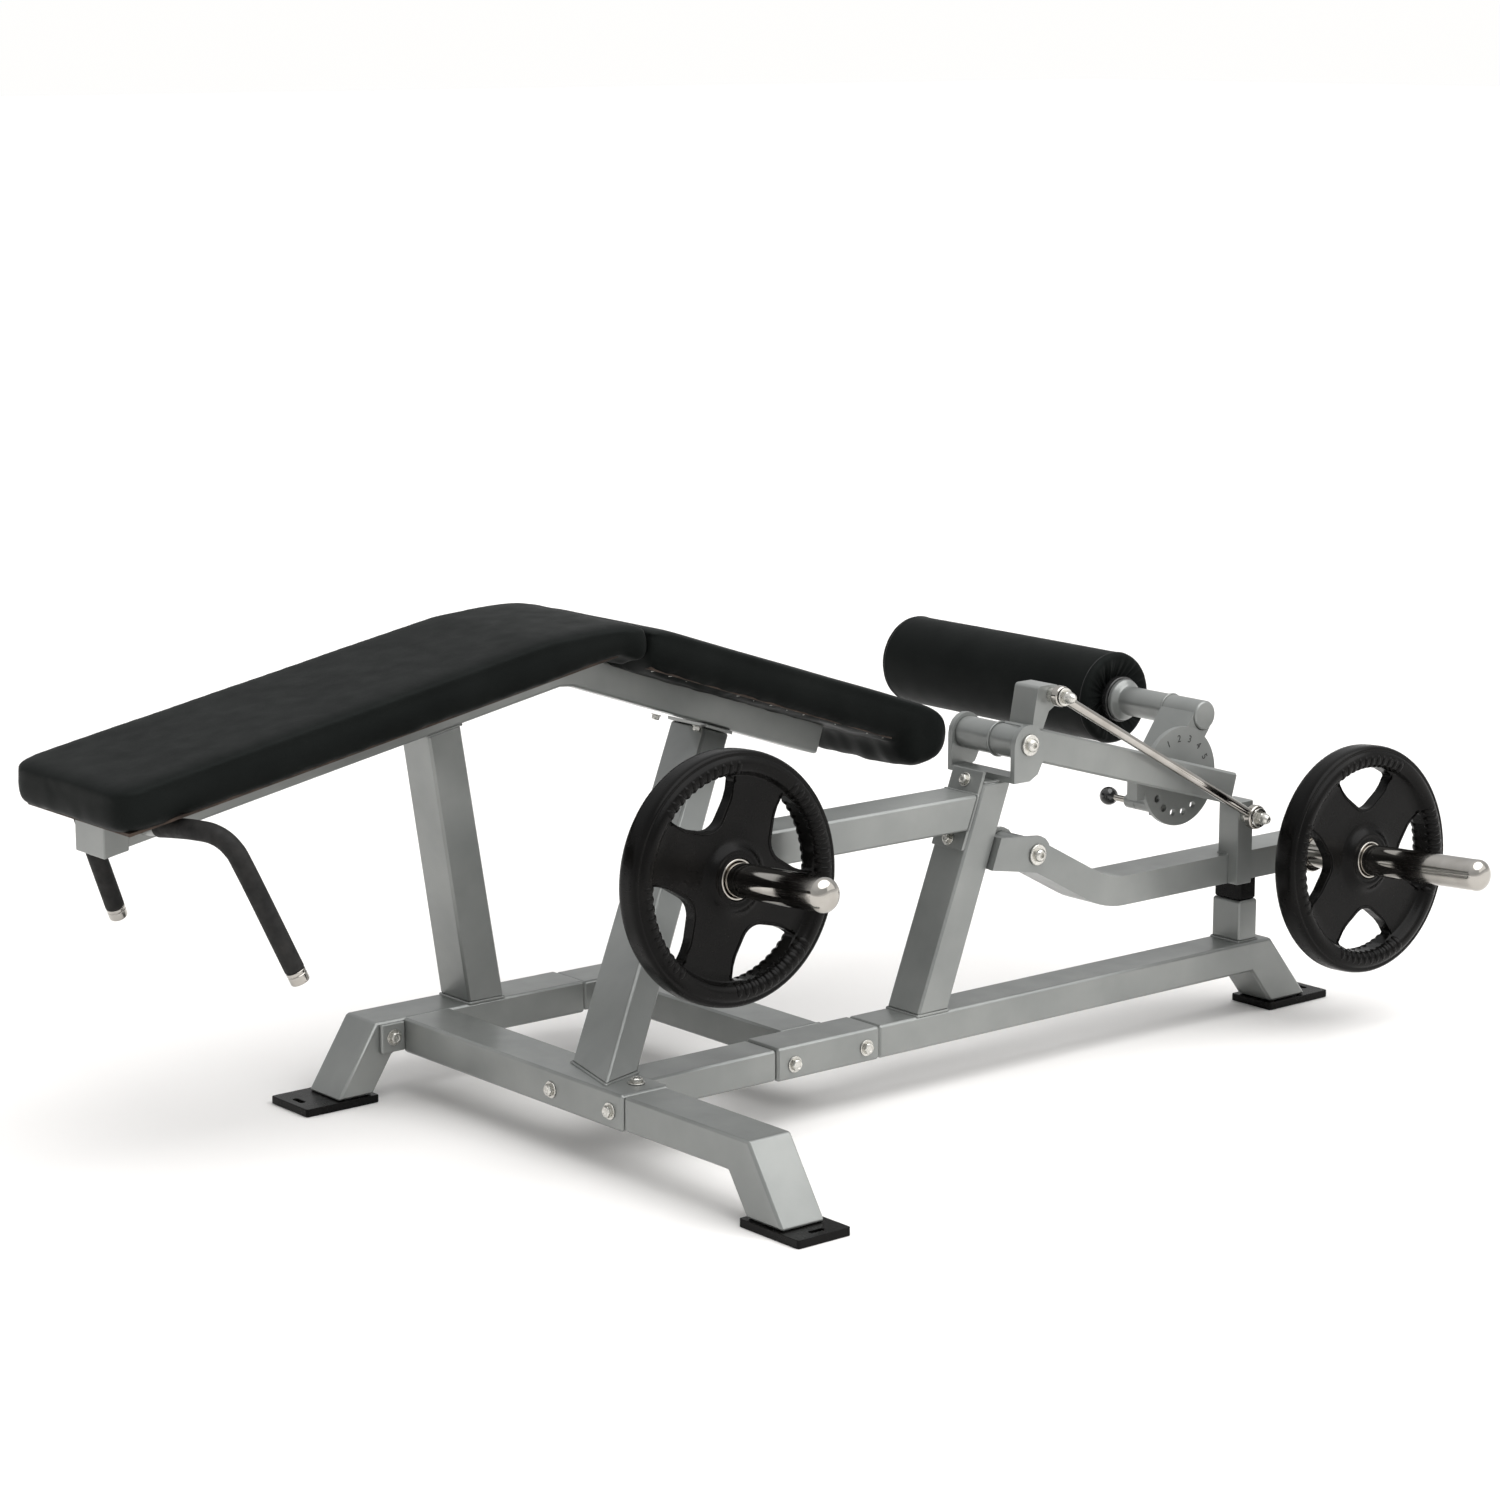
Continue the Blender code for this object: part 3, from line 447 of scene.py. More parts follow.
def dress(obj, body, material, replaces=()):
    smooth(obj)
    obj.data.materials.clear()
    obj.data.materials.append(material)
    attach(obj, body)
    if replaces:
        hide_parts(*replaces)
    return obj


def piece(name, shape, body, material, replaces=(), round_by=None, segments=2):
    obj = into_object(name, shape)
    if round_by:
        bevel(obj, round_by, segments)
    return dress(obj, body, material, replaces)


def applied(obj):
    """The object's mesh with its modifiers applied, and none left."""
    graph = bpy.context.evaluated_depsgraph_get()
    mesh = bpy.data.meshes.new_from_object(obj.evaluated_get(graph))
    obj.modifiers.clear()
    obj.data = mesh
    return obj


def cut(obj, cutters):
    """Cuts obj with each shape, exactly, and removes the cutters."""
    made = []
    for i, shape in enumerate(cutters):
        cutter = into_object("%s_cutter_%d" % (obj.name, i), shape)
        modifier = obj.modifiers.new("cut", "BOOLEAN")
        modifier.object = cutter
        modifier.solver = "EXACT"
        made.append(cutter)
    applied(obj)
    for cutter in made:
        bpy.data.objects.remove(cutter, do_unlink=True)
    return obj


def rounded(corners, radii, steps=6):
    found = []
    count = len(corners)
    for i, here in enumerate(corners):
        here = Vector(here)
        to_last = (Vector(corners[i - 1]) - here).normalized()
        to_next = (Vector(corners[(i + 1) % count]) - here).normalized()
        half = math.acos(max(-1.0, min(1.0, to_last.dot(to_next)))) / 2
        if radii[i] == 0 or half > 1.5:
            found.append(tuple(here))
            continue
        reach = radii[i] / math.tan(half)
        centre = here + (to_last + to_next).normalized() * radii[i] / math.sin(half)
        first = here + to_last * reach - centre
        last = here + to_next * reach - centre
        start = math.atan2(first.y, first.x)
        swing = (math.atan2(last.y, last.x) - start + math.pi) % (2 * math.pi) - math.pi
        for k in range(steps + 1):
            angle = start + swing * k / steps
            found.append((centre.x + radii[i] * math.cos(angle), centre.y + radii[i] * math.sin(angle)))
    return found


def circle(centre, radius, axis_y, count=60):
    return [
        at(centre[0] + radius * math.cos(2 * math.pi * k / count), axis_y,
            centre[1] + radius * math.sin(2 * math.pi * k / count))
        for k in range(count)
    ]


# ---------------------------------------------------------------- the CAD nodes that stay


KEPT_PAINT = {
    0.0016: (
        "left_rail", "left_rail_rear", "cross_member", "right_leg", "main_rail_front", "rail_sleeve", "main_rail",
        "rear_cross", "post_front", "post_middle", "post_rear", "upper_rail", "brace", "bench_frame", "lever_arm",
        "weight_arm", "link_post", "bumper_post",
    ),
    0.0009: (
        "left_flange", "bench_bracket", "upper_flange", "upper_clevis", "lower_clevis", "lever_lug", "pin_bracket",
        "swing_arm", "handle_near", "handle_far",
    ),
}


def keep(name, material, width):
    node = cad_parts[name]
    smooth(node)
    node.data.materials.clear()
    node.data.materials.append(material)
    weld = node.modifiers.new("weld", "WELD")
    weld.merge_threshold = WELD_DISTANCE
    bevel(node, width)


def dress_frame():
    for width, names in KEPT_PAINT.items():
        for name in names:
            keep(name, PAINT, width)
    keep("bumper", RUBBER, 0.003)
    keep("pull_pin", CHROME, 0.0006)


# ---------------------------------------------------------------- fasteners and welds


def hex_bolt(shape, centre, normal, flats=0.0080, washer=0.0125):
    """A washer and a domed hex head standing on a surface point."""
    normal = Vector(normal).normalized()
    ring = [(0.0002, 0), (0.0002, washer - 0.0006), (0.0006, washer), (0.0016, washer),
        (0.0020, washer - 0.0006), (0.0020, 0)]
    shape.lathe(ring, centre, normal, 40)
    head = [(0.0021, 0), (0.0021, flats, "hex"), (0.0072, flats, "hex"), (0.0084, flats * 0.90),
        (0.0088, flats * 0.62)]
    head += [(0.0082, flats * 0.55), (0.0082, 0)]
    shape.lathe(head, centre, normal, 48)


def socket_head(shape, axis, y, out):
    """Washer and button head with a hex recess, at the end of a pivot bolt."""
    base = at(axis[0], y, axis[1])
    washer = [(0.0002, 0), (0.0002, 0.0158), (0.0008, 0.0165), (0.0032, 0.0165), (0.0040, 0.0156),
        (0.0040, 0)]
    shape.lathe(washer, base, (0, out, 0), 56)
    head = [(0.0041, 0), (0.0041, 0.0102), (0.0065, 0.0104), (0.0092, 0.0096), (0.0112, 0.0076),
        (0.0118, 0.0058)]
    head += [(0.0116, 0.0040, "hex"), (0.0080, 0.0040, "hex"), (0.0076, 0)]
    shape.lathe(head, base, (0, out, 0), 60)


def acorn_nut(shape, axis, y, washer):
    """A washer and a domed nut on the near end of a linkage stud."""
    base = at(axis[0], y, axis[1])
    ring = [(0.0, 0), (0.0, washer - 0.0006), (0.0006, washer), (0.0020, washer), (0.0025, washer - 0.0006),
        (0.0025, 0)]
    shape.lathe(ring, base, (0, -1, 0), 48)
    nut = [(0.0026, 0), (0.0026, 0.0090, "hex"), (0.0092, 0.0092, "hex"), (0.0100, 0.0092)]
    for k in range(1, 9):
        angle = math.pi / 2 * k / 8
        nut.append((0.0102 + 0.0128 * math.sin(angle), 0.0090 * math.cos(angle) if k < 8 else 0))
    shape.lathe(nut, base, (0, -1, 0), 48)


def post_face(z):
    """X of the leaning middle post's face towards the head end, at a height."""
    return POST_FOOT[0] + POST_LEAN * (z - POST_FOOT[1])


def build_bolts():
    bolts = Shape()
    for x, y, z, normal in (
        (0.0, 0.1184, 0.095, (-1, 0, 0)),
        (0.0, -0.0199, 0.095, (-1, 0, 0)),
        (0.0545, -0.0116, 0.1238, (0, 0, 1)),
        (0.3576, 0.0, 0.0935, (0, -1, 0)),
        (0.4977, 0.0, 0.0935, (0, -1, 0)),
        (-0.0215, 0.4852, 0.0975, (0, -1, 0)),
        (0.3576, 0.0758, 0.0935, (0, 1, 0)),
        (0.4977, 0.0758, 0.0935, (0, 1, 0)),
        (0.0856, 0.1184, 0.095, (1, 0, 0)),
    ):
        hex_bolt(bolts, at(x, y, z), normal)
    lean = Vector((-1, 0, POST_LEAN)).normalized()
    for z, y in ((0.466, 0.038), (0.379, 0.038)):
        x = post_face(z) - 0.0064
        hex_bolt(bolts, at(x, y, z), lean, 0.0068, 0.0108)
    for x in (0.463, 0.545):
        for y in (0.4440, 0.5370):
            z = thigh_under(x) - 0.0066
            if y < 0.5:
                hex_bolt(bolts, at(x, y + 0.016, z), (THIGH_FALL, 0, -1), 0.0055, 0.0085)
    piece("frame_bolts", bolts, "frame", ZINC, round_by=0.0004)

    pivot_fastener("upper_pivot_fastener", LEVER_PIVOT, (-0.0340, 0.1150), (-0.0338, 0.1485),
        "upper_pivot_bolt")
    pivot_fastener("lower_pivot_fastener", ARM_PIVOT, (-0.0102, 0.0802), (-0.0100, 0.0900),
        "lower_pivot_bolt")


def pivot_fastener(name, axis, ends, shank, replaced):
    """A pivot bolt: a socket head and a hex nut at the two end Y values, and a shank (start, length)."""
    bolt = Shape()
    socket_head(bolt, axis, ends[0], -1)
    nut = [(0.0002, 0), (0.0002, 0.0165), (0.0030, 0.0165), (0.0031, 0.0100, "hex"), (0.0098, 0.0100, "hex")]
    nut += [(0.0104, 0.0085), (0.0104, 0.0050), (0.0135, 0.0048), (0.0135, 0)]
    bolt.lathe(nut, at(axis[0], ends[1], axis[1]), (0, 1, 0), 48)
    rod = [(0, 0), (0, 0.0079), (shank[1], 0.0079), (shank[1], 0)]
    bolt.lathe(rod, at(axis[0], shank[0], axis[1]), (0, 1, 0), 32)
    piece(name, bolt, "frame", ZINC, [replaced], round_by=0.0004)


def rectangle(x, y, z):
    """Four corners; z is a height or a function of x."""
    high = z if callable(z) else (lambda _: z)
    return [at(a, b, high(a)) for a, b in ((x[0], y[0]), (x[1], y[0]), (x[1], y[1]), (x[0], y[1]))]


def build_welds():
    welds = Shape()
    top = 0.1224
    welds.bead(rectangle((0.1245, 0.1900), (0.4955, 0.5715), top), seed=1)
    middle = [(0.1017, 0.0735), (0.090, 0.030), (0.0138, 0.0065), (0.048, 0.133), (0.0840, 0.1441)]
    welds.bead([at(x, y, 0.1240) for x, y in middle], closed=False, seed=2)
    welds.bead(rectangle((0.6022, 0.6644), (0.0030, 0.0725), top), seed=3)
    welds.bead(rectangle((1.3125, 1.3555), (0.010, 0.071), top), seed=4)
    welds.bead(rectangle((0.0300, 0.0890), (0.4560, 0.5275), lambda x: chest_under(x) - 0.0006), seed=5)
    for y, seed in ((0.0762, 6), (0.4948, 7)):
        loop = [at(x, y, z) for x, z in ((0.394, 0.073), (0.4705, 0.073), (0.4705, 0.120), (0.394, 0.120))]
        welds.bead(loop, seed=seed)
    rail = []
    for z, y in ((0.397, 0.001), (0.448, 0.001), (0.448, 0.0745), (0.397, 0.0745)):
        rail.append(at(post_face(z) - 0.0072, y, z))
    welds.bead(rail, seed=8)
    welds.bead(rectangle((0.7355, 0.7905), (0.0030, 0.0725), 0.4655), 0.0018, seed=9)
    piece("frame_welds", welds, "frame", PAINT)

    moving = Shape()
    moving.bead(circle(LEVER_PIVOT, 0.0262, 0.0314), 0.0016, seed=10)
    moving.bead(circle(LEVER_PIVOT, 0.0262, -0.0202), 0.0016, seed=11)

    def lug_top(x):
        return LEVER_PIVOT[1] + 0.0032 - 0.289 * (x - LEVER_PIVOT[0]) + 0.0266

    moving.bead(rectangle((0.8125, 0.8335), (-0.0185, 0.0295), lug_top), 0.0016, seed=12)
    piece("lever_welds", moving, "lever", PAINT)

    arm = Shape()
    arm.bead(rectangle((1.2720, 1.3060), (0.0015, 0.0215), 0.2771), 0.0018, seed=13)
    piece("arm_welds", arm, "weight_arm", PAINT)

    swing = Shape()
    swing.bead(circle(ROLLER_AXIS, 0.0246, 0.1204), 0.0017, seed=14)
    piece("selector_welds", swing, "selector", PAINT)


# ---------------------------------------------------------------- bench


def chest_under(x):
    return CHEST_LOW[1] + CHEST_RISE * (x - CHEST_LOW[0])


def thigh_under(x):
    return THIGH_LOW[1] + THIGH_FALL * (x - THIGH_LOW[0])


def chest_top(x):
    return chest_under(x) + BENCH_TUBE / math.cos(math.atan(CHEST_RISE))


def thigh_top(x):
    return thigh_under(x) + BENCH_TUBE / math.cos(math.atan(THIGH_FALL))


def remeshed(node_name, name):
    """A voxel copy of a CAD pad, a little smaller all round, with softened edges."""
    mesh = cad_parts[node_name].data.copy()
    mesh.name = name
    obj = bpy.data.objects.new(name, mesh)
    into_scene(obj)
    obj.modifiers.new("weld", "WELD").merge_threshold = WELD_DISTANCE
    remesh = obj.modifiers.new("voxels", "REMESH")
    remesh.mode = "VOXEL"
    remesh.voxel_size = VOXEL
    applied(obj)
    built = bmesh.new()
    built.from_mesh(obj.data)
    for _ in range(PAD_ROUNDING):
        bmesh.ops.smooth_vert(built, verts=built.verts, factor=0.5, use_axis_x=True, use_axis_y=True,
            use_axis_z=True)
    built.normal_update()
    for vertex in built.verts:
        vertex.co -= vertex.normal * PAD_SHRINK
    built.to_mesh(obj.data)
    built.free()
    return obj


def coordinates(mesh):
    flat = np.empty(len(mesh.vertices) * 3)
    mesh.vertices.foreach_get("co", flat)
    return flat.reshape(-1, 3)


def inflate(obj, resting):
    """Blows the pad up as cloth, caps how far each point moves and keeps the resting side flat."""
    start = coordinates(obj.data)
    normals = np.array([v.normal for v in obj.data.vertices])
    modifier = obj.modifiers.new("cloth", "CLOTH")
    settings = modifier.settings
    settings.use_pressure = True
    settings.uniform_pressure_force = PRESSURE
    settings.quality = 4
    settings.effector_weights.gravity = 0
    settings.tension_stiffness = 20
    settings.compression_stiffness = 20
    settings.bending_stiffness = 2
    modifier.collision_settings.use_collision = False
    modifier.point_cache.frame_start = 1
    modifier.point_cache.frame_end = CLOTH_FRAMES
    scene = bpy.context.scene
    for step in range(1, CLOTH_FRAMES + 1):
        scene.frame_set(step)
    evaluated = obj.evaluated_get(bpy.context.evaluated_depsgraph_get())
    moved = coordinates(evaluated.data)
    obj.modifiers.clear()
    scene.frame_set(1)
    shift = moved - start
    length = np.linalg.norm(shift, axis=1, keepdims=True)
    shift *= np.minimum(1.0, PAD_CAP / np.maximum(length, 1e-9))
    down = np.clip(-(normals @ np.array(resting)), 0.0, 1.0)
    shift *= (1.0 - np.clip((down - 0.3) / 0.5, 0.0, 1.0))[:, None]
    obj.data.vertices.foreach_set("co", (start + shift).ravel())
    obj.data.update()


def refit(obj, node_name):
    """Stretches the pad along X and Y back to the length and width of its CAD node."""
    points = coordinates(obj.data)
    target = coordinates(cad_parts[node_name].data)
    for axis in (0, 1):
        low, high = points[:, axis].min(), points[:, axis].max()
        wanted = target[:, axis].min(), target[:, axis].max()
        points[:, axis] = wanted[0] + (points[:, axis] - low) * (wanted[1] - wanted[0]) / (high - low)
    obj.data.vertices.foreach_set("co", points.ravel())
    obj.data.update()


def pucker(obj, depth_of, amount, seed):
    """Fine pulls in the cover where it is stapled under the pad: depth_of gives 0 at the top, 1 at the hem."""
    normals = [v.normal.copy() for v in obj.data.vertices]
    for vertex, normal in zip(obj.data.vertices, normals):
        hem = max(0.0, min(1.0, depth_of(vertex.co)))
        wave = noise.noise(Vector((vertex.co.x * 34 + seed, vertex.co.y * 34, vertex.co.z * 9)))
        broad = noise.noise(Vector((vertex.co.x * 7, vertex.co.y * 9, vertex.co.z * 7 + seed)))
        vertex.co += normal * (amount * wave * hem ** 1.6 + 0.0006 * broad)
    obj.data.update()


def finish_pad(obj, node, body="frame"):
    subdivision = obj.modifiers.new("smooth", "SUBSURF")
    subdivision.levels = 1
    subdivision.render_levels = 1
    dress(obj, body, VINYL, [node])


def build_pads():
    chest = remeshed("chest_pad", "chest_cushion")
    slope = math.atan(CHEST_RISE)
    inflate(chest, (math.sin(slope), 0, -math.cos(slope)))
    refit(chest, "chest_pad")
    for vertex in chest.data.vertices:
        under = chest_top(vertex.co.x + ROW_ORIGIN.x) + BOARD * 0.6
        if vertex.co.x + ROW_ORIGIN.x < 0.215 and vertex.co.z < under:
            vertex.co.z = under
    pucker(chest, lambda p: 1 - (p.z - chest_top(p.x + ROW_ORIGIN.x)) / 0.055, 0.0022, 3.0)
    finish_pad(chest, "chest_pad")

    thigh = remeshed("thigh_pad", "thigh_cushion")
    slope = math.atan(THIGH_FALL)
    inflate(thigh, (math.sin(slope), 0, -math.cos(slope)))
    refit(thigh, "thigh_pad")
    pucker(thigh, lambda p: 1 - (p.z - thigh_top(p.x + ROW_ORIGIN.x)) / 0.055, 0.0026, 11.0)
    finish_pad(thigh, "thigh_pad")
    build_boards()
    build_seams(chest)


def build_boards():
    """The stapled board that shows in the gap between each pad and the tube."""
    boards = Shape()
    inset = 0.018
    y = (PAD_Y[0] + inset, PAD_Y[1] - inset)
    for x, top in (((PAD_HEAD + 0.022, 0.300), chest_top), ((0.362, 0.850), thigh_top)):
        low = rectangle(x, y, lambda a: top(a) + 0.0007)
        high = [p + Vector((0, 0, BOARD)) for p in low]
        boards.rings([low, high])
        count = len(boards.points)
        boards.faces += [tuple(range(count - 8, count - 4)), tuple(range(count - 4, count))]
    piece("pad_boards", boards, "frame", BOARD_COVER, round_by=0.0006)

    staples = Shape()
    for low, high, top in ((PAD_HEAD + 0.05, 0.290, chest_top), (0.372, 0.840, thigh_top)):
        count = round((high - low) / 0.034)
        for k in range(count + 1):
            x = low + (high - low) * k / count
            for edge in (y[0] + 0.006, y[1] - 0.006):
                z = top(x) + 0.0002
                staples.block(at(x - 0.0055, edge - 0.0005, z), at(x + 0.0055, edge + 0.0005, z + 0.0012))
    piece("pad_staples", staples, "frame", ZINC)


def build_seams(chest):
    """The hem cord round the seam end of the chest pad, laid on the pad's own surface."""
    mesh = chest.data
    tree = BVHTree.FromPolygons([v.co for v in mesh.vertices], [tuple(p.vertices) for p in mesh.polygons])
    path = []
    for k in range(61):
        y = PAD_Y[0] + 0.012 + (PAD_Y[1] - PAD_Y[0] - 0.024) * k / 60
        path.append(tree.find_nearest(at(PAD_SEAM - 0.006, y, 0.712))[0])
    piece("crest_seam", Shape().tube(path, 0.0014, 8, domed=0.001), "frame", SEAM)


def catmull(points, steps):
    """A smooth line through every point."""
    path = [Vector(p) for p in points]
    padded = [path[0] * 2 - path[1]] + path + [path[-1] * 2 - path[-2]]
    found = []
    for a, b, c, d in zip(padded, padded[1:], padded[2:], padded[3:]):
        for k in range(steps):
            t = k / steps
            square = (2 * a - 5 * b + 4 * c - d) * t * t
            cube = (3 * b - a - 3 * c + d) * t ** 3
            found.append(0.5 * (2 * b + (c - a) * t + square + cube))
    found.append(path[-1])
    return found


def build_handles():
    for label, mirror in (("near", False), ("far", True)):
        path = [(x, max(2 * BENCH_MID - y, BENCH_Y[1] + 0.0035) if mirror else y, z) for x, y, z in HANDLE]
        path = [at(*p) for p in path]
        start = path[0].lerp(path[1], 0.56)
        end = path[-2].lerp(path[-1], 0.885)
        foam = Shape()
        line = catmull([start] + path[1:-1] + [end], 10)
        foam.tube(line, GRIP_RADIUS, 40, domed=0.0008)
        grip = piece("foam_grip_" + label, foam, "frame", FOAM, ["grip_" + label], round_by=0.0025,
            segments=3)
        along = (path[-1] - path[-2]).normalized()
        base = path[-2].lerp(path[-1], 0.887)
        length = (path[-1] - base).length
        cap = [(0, 0), (0, 0.0136), (0.0008, 0.0143), (0.0045, 0.0143), (0.0052, 0.0134), (0.0060, 0.0134),
            (0.0066, 0.0142)]
        cap += [(length - 0.0035, 0.0142), (length - 0.0012, 0.0130), (length - 0.0002, 0.0108),
            (length - 0.0012, 0.0095)]
        cap += [(length - 0.0012, 0)]
        chrome = Shape().lathe(cap, base, along, 64)
        piece("end_cap_" + label, chrome, "frame", CHROME, ["cap_" + label], round_by=0.0004)


def build_tube_ends():
    """The silver sleeve plate at the head end of the bench tube and the plastic plug in the weight arm."""
    sleeve = Shape()
    x = (-0.5235, -0.4830)
    y = (BENCH_Y[0] - 0.0022, BENCH_Y[1] + 0.0022)
    low = rectangle(x, y, lambda a: chest_under(a) - 0.0035)
    high = [p + Vector((0, 0, 0.0520)) for p in low]
    sleeve.rings([low, high])
    sleeve.faces += [(0, 1, 2, 3), (4, 5, 6, 7)]
    piece("bench_end_sleeve", sleeve, "frame", PAINT, round_by=0.0022, segments=3)
    plug = Shape().block(at(1.4696, 0.004, 0.2333), at(1.4722, 0.066, 0.2729))
    piece("weight_arm_plug", plug, "weight_arm", PLASTIC, round_by=0.0012, segments=3)


# ---------------------------------------------------------------- feet


def slab(outline, low, high):
    """A flat block over an outline given in the working frame."""
    moved = [(a - ROW_ORIGIN.x, b - ROW_ORIGIN.y) for a, b in outline]
    return Shape().prism(moved, Vector((0, 0, 1)), low, high, Vector(), Vector((1, 0, 0)), Vector((0, 1, 0)))


def build_feet():
    pads = {
        "foot_left": ((-0.176, -0.047), (0.4895, 0.5880), (-0.158, 0.5388), "Y"),
        "foot_right": ((-0.002, 0.091), (-0.4330, -0.3080), (0.0445, -0.4150), "X"),
        "foot_rear": ((1.376, 1.515), (-0.0050, 0.0820), (1.4960, 0.0385), "Y"),
    }
    for name, (x, y, slot_at, run) in pads.items():
        outline = rounded([(x[0], y[0]), (x[1], y[0]), (x[1], y[1]), (x[0], y[1])], [0.004] * 4)
        obj = into_object(name + "_rubber", slab(outline, 0.0, 0.012))
        half = (0.0045, 0.0130) if run == "Y" else (0.0130, 0.0045)
        corners = [(slot_at[0] + i * half[0], slot_at[1] + j * half[1]) for i,
            j in ((-1, -1), (1, -1), (1, 1), (-1, 1))]
        hole = rounded(corners, [0.0043] * 4)
        cut(obj, [slab(hole, -0.01, 0.03)])
        bevel(obj, 0.0014, 3)
        dress(obj, "frame", RUBBER, [name])


# ---------------------------------------------------------------- lever, selector and roller


def y_lathe(shape, axis, profile, sides=64):
    """Turned about the Y direction; distances are Y values in the working frame."""
    return shape.lathe(profile, at(axis[0], 0, axis[1]), (0, 1, 0), sides)


def rod_stud(name, axis, radii, washer, body, replaced):
    """A stepped stud through one eye of the rod, with an acorn nut on its near end."""
    thin, thick = radii
    profile = [(-0.0510, 0), (-0.0510, thin), (-0.0310, thin), (-0.0310, thick), (-0.0206, thick),
        (-0.0206, 0)]
    stud = y_lathe(Shape(), axis, profile, 48)
    acorn_nut(stud, axis, -0.0495, washer)
    piece(name, stud, body, ZINC, [replaced], round_by=0.0004)


def build_lever_parts():
    hub = y_lathe(Shape(), LEVER_PIVOT,
        [(-0.024, 0.0090), (-0.024, 0.025), (0.105, 0.025), (0.105, 0.0090)], 72)
    piece("pivot_hub", hub, "lever", PAINT, ["lever_hub"], round_by=0.0012)

    rod_stud("top_stud", ROD_TOP, (0.0060, 0.0110), 0.0140, "lever", "rod_top_stud")
    rod_stud("bottom_stud", ROD_BOTTOM, (0.0040, 0.0120), 0.0158, "weight_arm", "rod_bottom_stud")

    pivot = y_lathe(Shape(), SELECTOR,
        [(0.0316, 0), (0.0316, 0.0080), (0.1210, 0.0080), (0.1211, 0.0138), (0.1230, 0.0142),
        (0.1268, 0.0138), (0.1276, 0.0120), (0.1276, 0)], 56)
    piece("selector_pin", pivot, "lever", ZINC, ["selector_pivot"], round_by=0.0004)

    barrel = [(0.0539, 0.0062), (0.0539, 0.0115), (0.0880, 0.0115), (0.0886, 0.0108), (0.0900, 0.0108),
        (0.0906, 0.0115)]
    barrel += [(0.1125, 0.0115), (0.1150, 0.0096), (0.1150, 0.0062)]
    piece("pin_housing", y_lathe(Shape(), PIN_AXIS, barrel, 56), "lever", PAINT, ["pin_barrel"],
        round_by=0.0004)

    knob = [(0.1436, 0), (0.1436, 0.0052), (0.1450, 0.0062)]
    for k in range(1, 20):
        angle = math.radians(-62 + 152 * k / 19)
        knob.append((0.158 + 0.0150 * math.sin(angle), 0.0150 * math.cos(angle) if k < 19 else 0))
    piece("ball_knob", y_lathe(Shape(), PIN_AXIS, knob, 48), "pull_pin", PLASTIC, ["pull_knob"])


def build_selector():
    disc = into_object("dial", y_lathe(Shape(), SELECTOR,
        [(0.0345, 0.0086), (0.0345, 0.080), (0.0425, 0.080), (0.0425, 0.0086)], 120))
    offset = Vector(PIN_AXIS) - Vector(SELECTOR)
    start = math.atan2(offset.y, offset.x)
    holes = []
    for k in range(-1, 4):
        angle = start + math.radians(22.5) * k
        centre = (SELECTOR[0] + offset.length * math.cos(angle),
            SELECTOR[1] + offset.length * math.sin(angle))
        holes.append(y_lathe(Shape(), centre, [(0.02, 0), (0.02, 0.0060), (0.06, 0.0060), (0.06, 0)], 32))
    cut(disc, holes)
    bevel(disc, 0.0007)
    dress(disc, "selector", PAINT, ["selector_disc"])
    build_dial_marks()

    end = ROLLER_Y[0] - 0.012
    shaft = [(0.0440, 0), (0.0440, 0.0210), (0.0452, 0.0228), (0.0475, 0.0240), (end - 0.014, 0.0240),
        (end - 0.0125, 0.0252)]
    shaft += [(end - 0.0105, 0.0290), (end - 0.0080, 0.0330), (end - 0.0060, 0.0340), (end, 0.0340),
        (end, 0.0165)]
    shaft += [(0.7480, 0.0165), (0.7480, 0.0240), (0.7530, 0.0240), (0.7545, 0.0225), (0.7545, 0)]
    piece("roller_axle", y_lathe(Shape(), ROLLER_AXIS, shaft, 72), "selector", PAINT, ["roller_shaft"],
        round_by=0.0005)
    ring = (end + 0.0004, ROLLER_Y[0] - 0.0004)
    collar = [(ring[0], 0.0170), (ring[0], 0.0370), (ring[0] + 0.002, 0.0380), (ring[1] - 0.002, 0.0380),
        (ring[1], 0.0370), (ring[1], 0.0170)]
    piece("roller_bush", y_lathe(Shape(), ROLLER_AXIS, collar, 72), "selector", PLASTIC, ["roller_collar"],
        round_by=0.0006)
    build_roller()

    screw = Shape()
    hex_bolt(screw, at(1.2050, 0.0464, 0.4700), (0, -1, 0), 0.0034, 0.0052)
    piece("selector_screw", screw, "selector", ZINC)


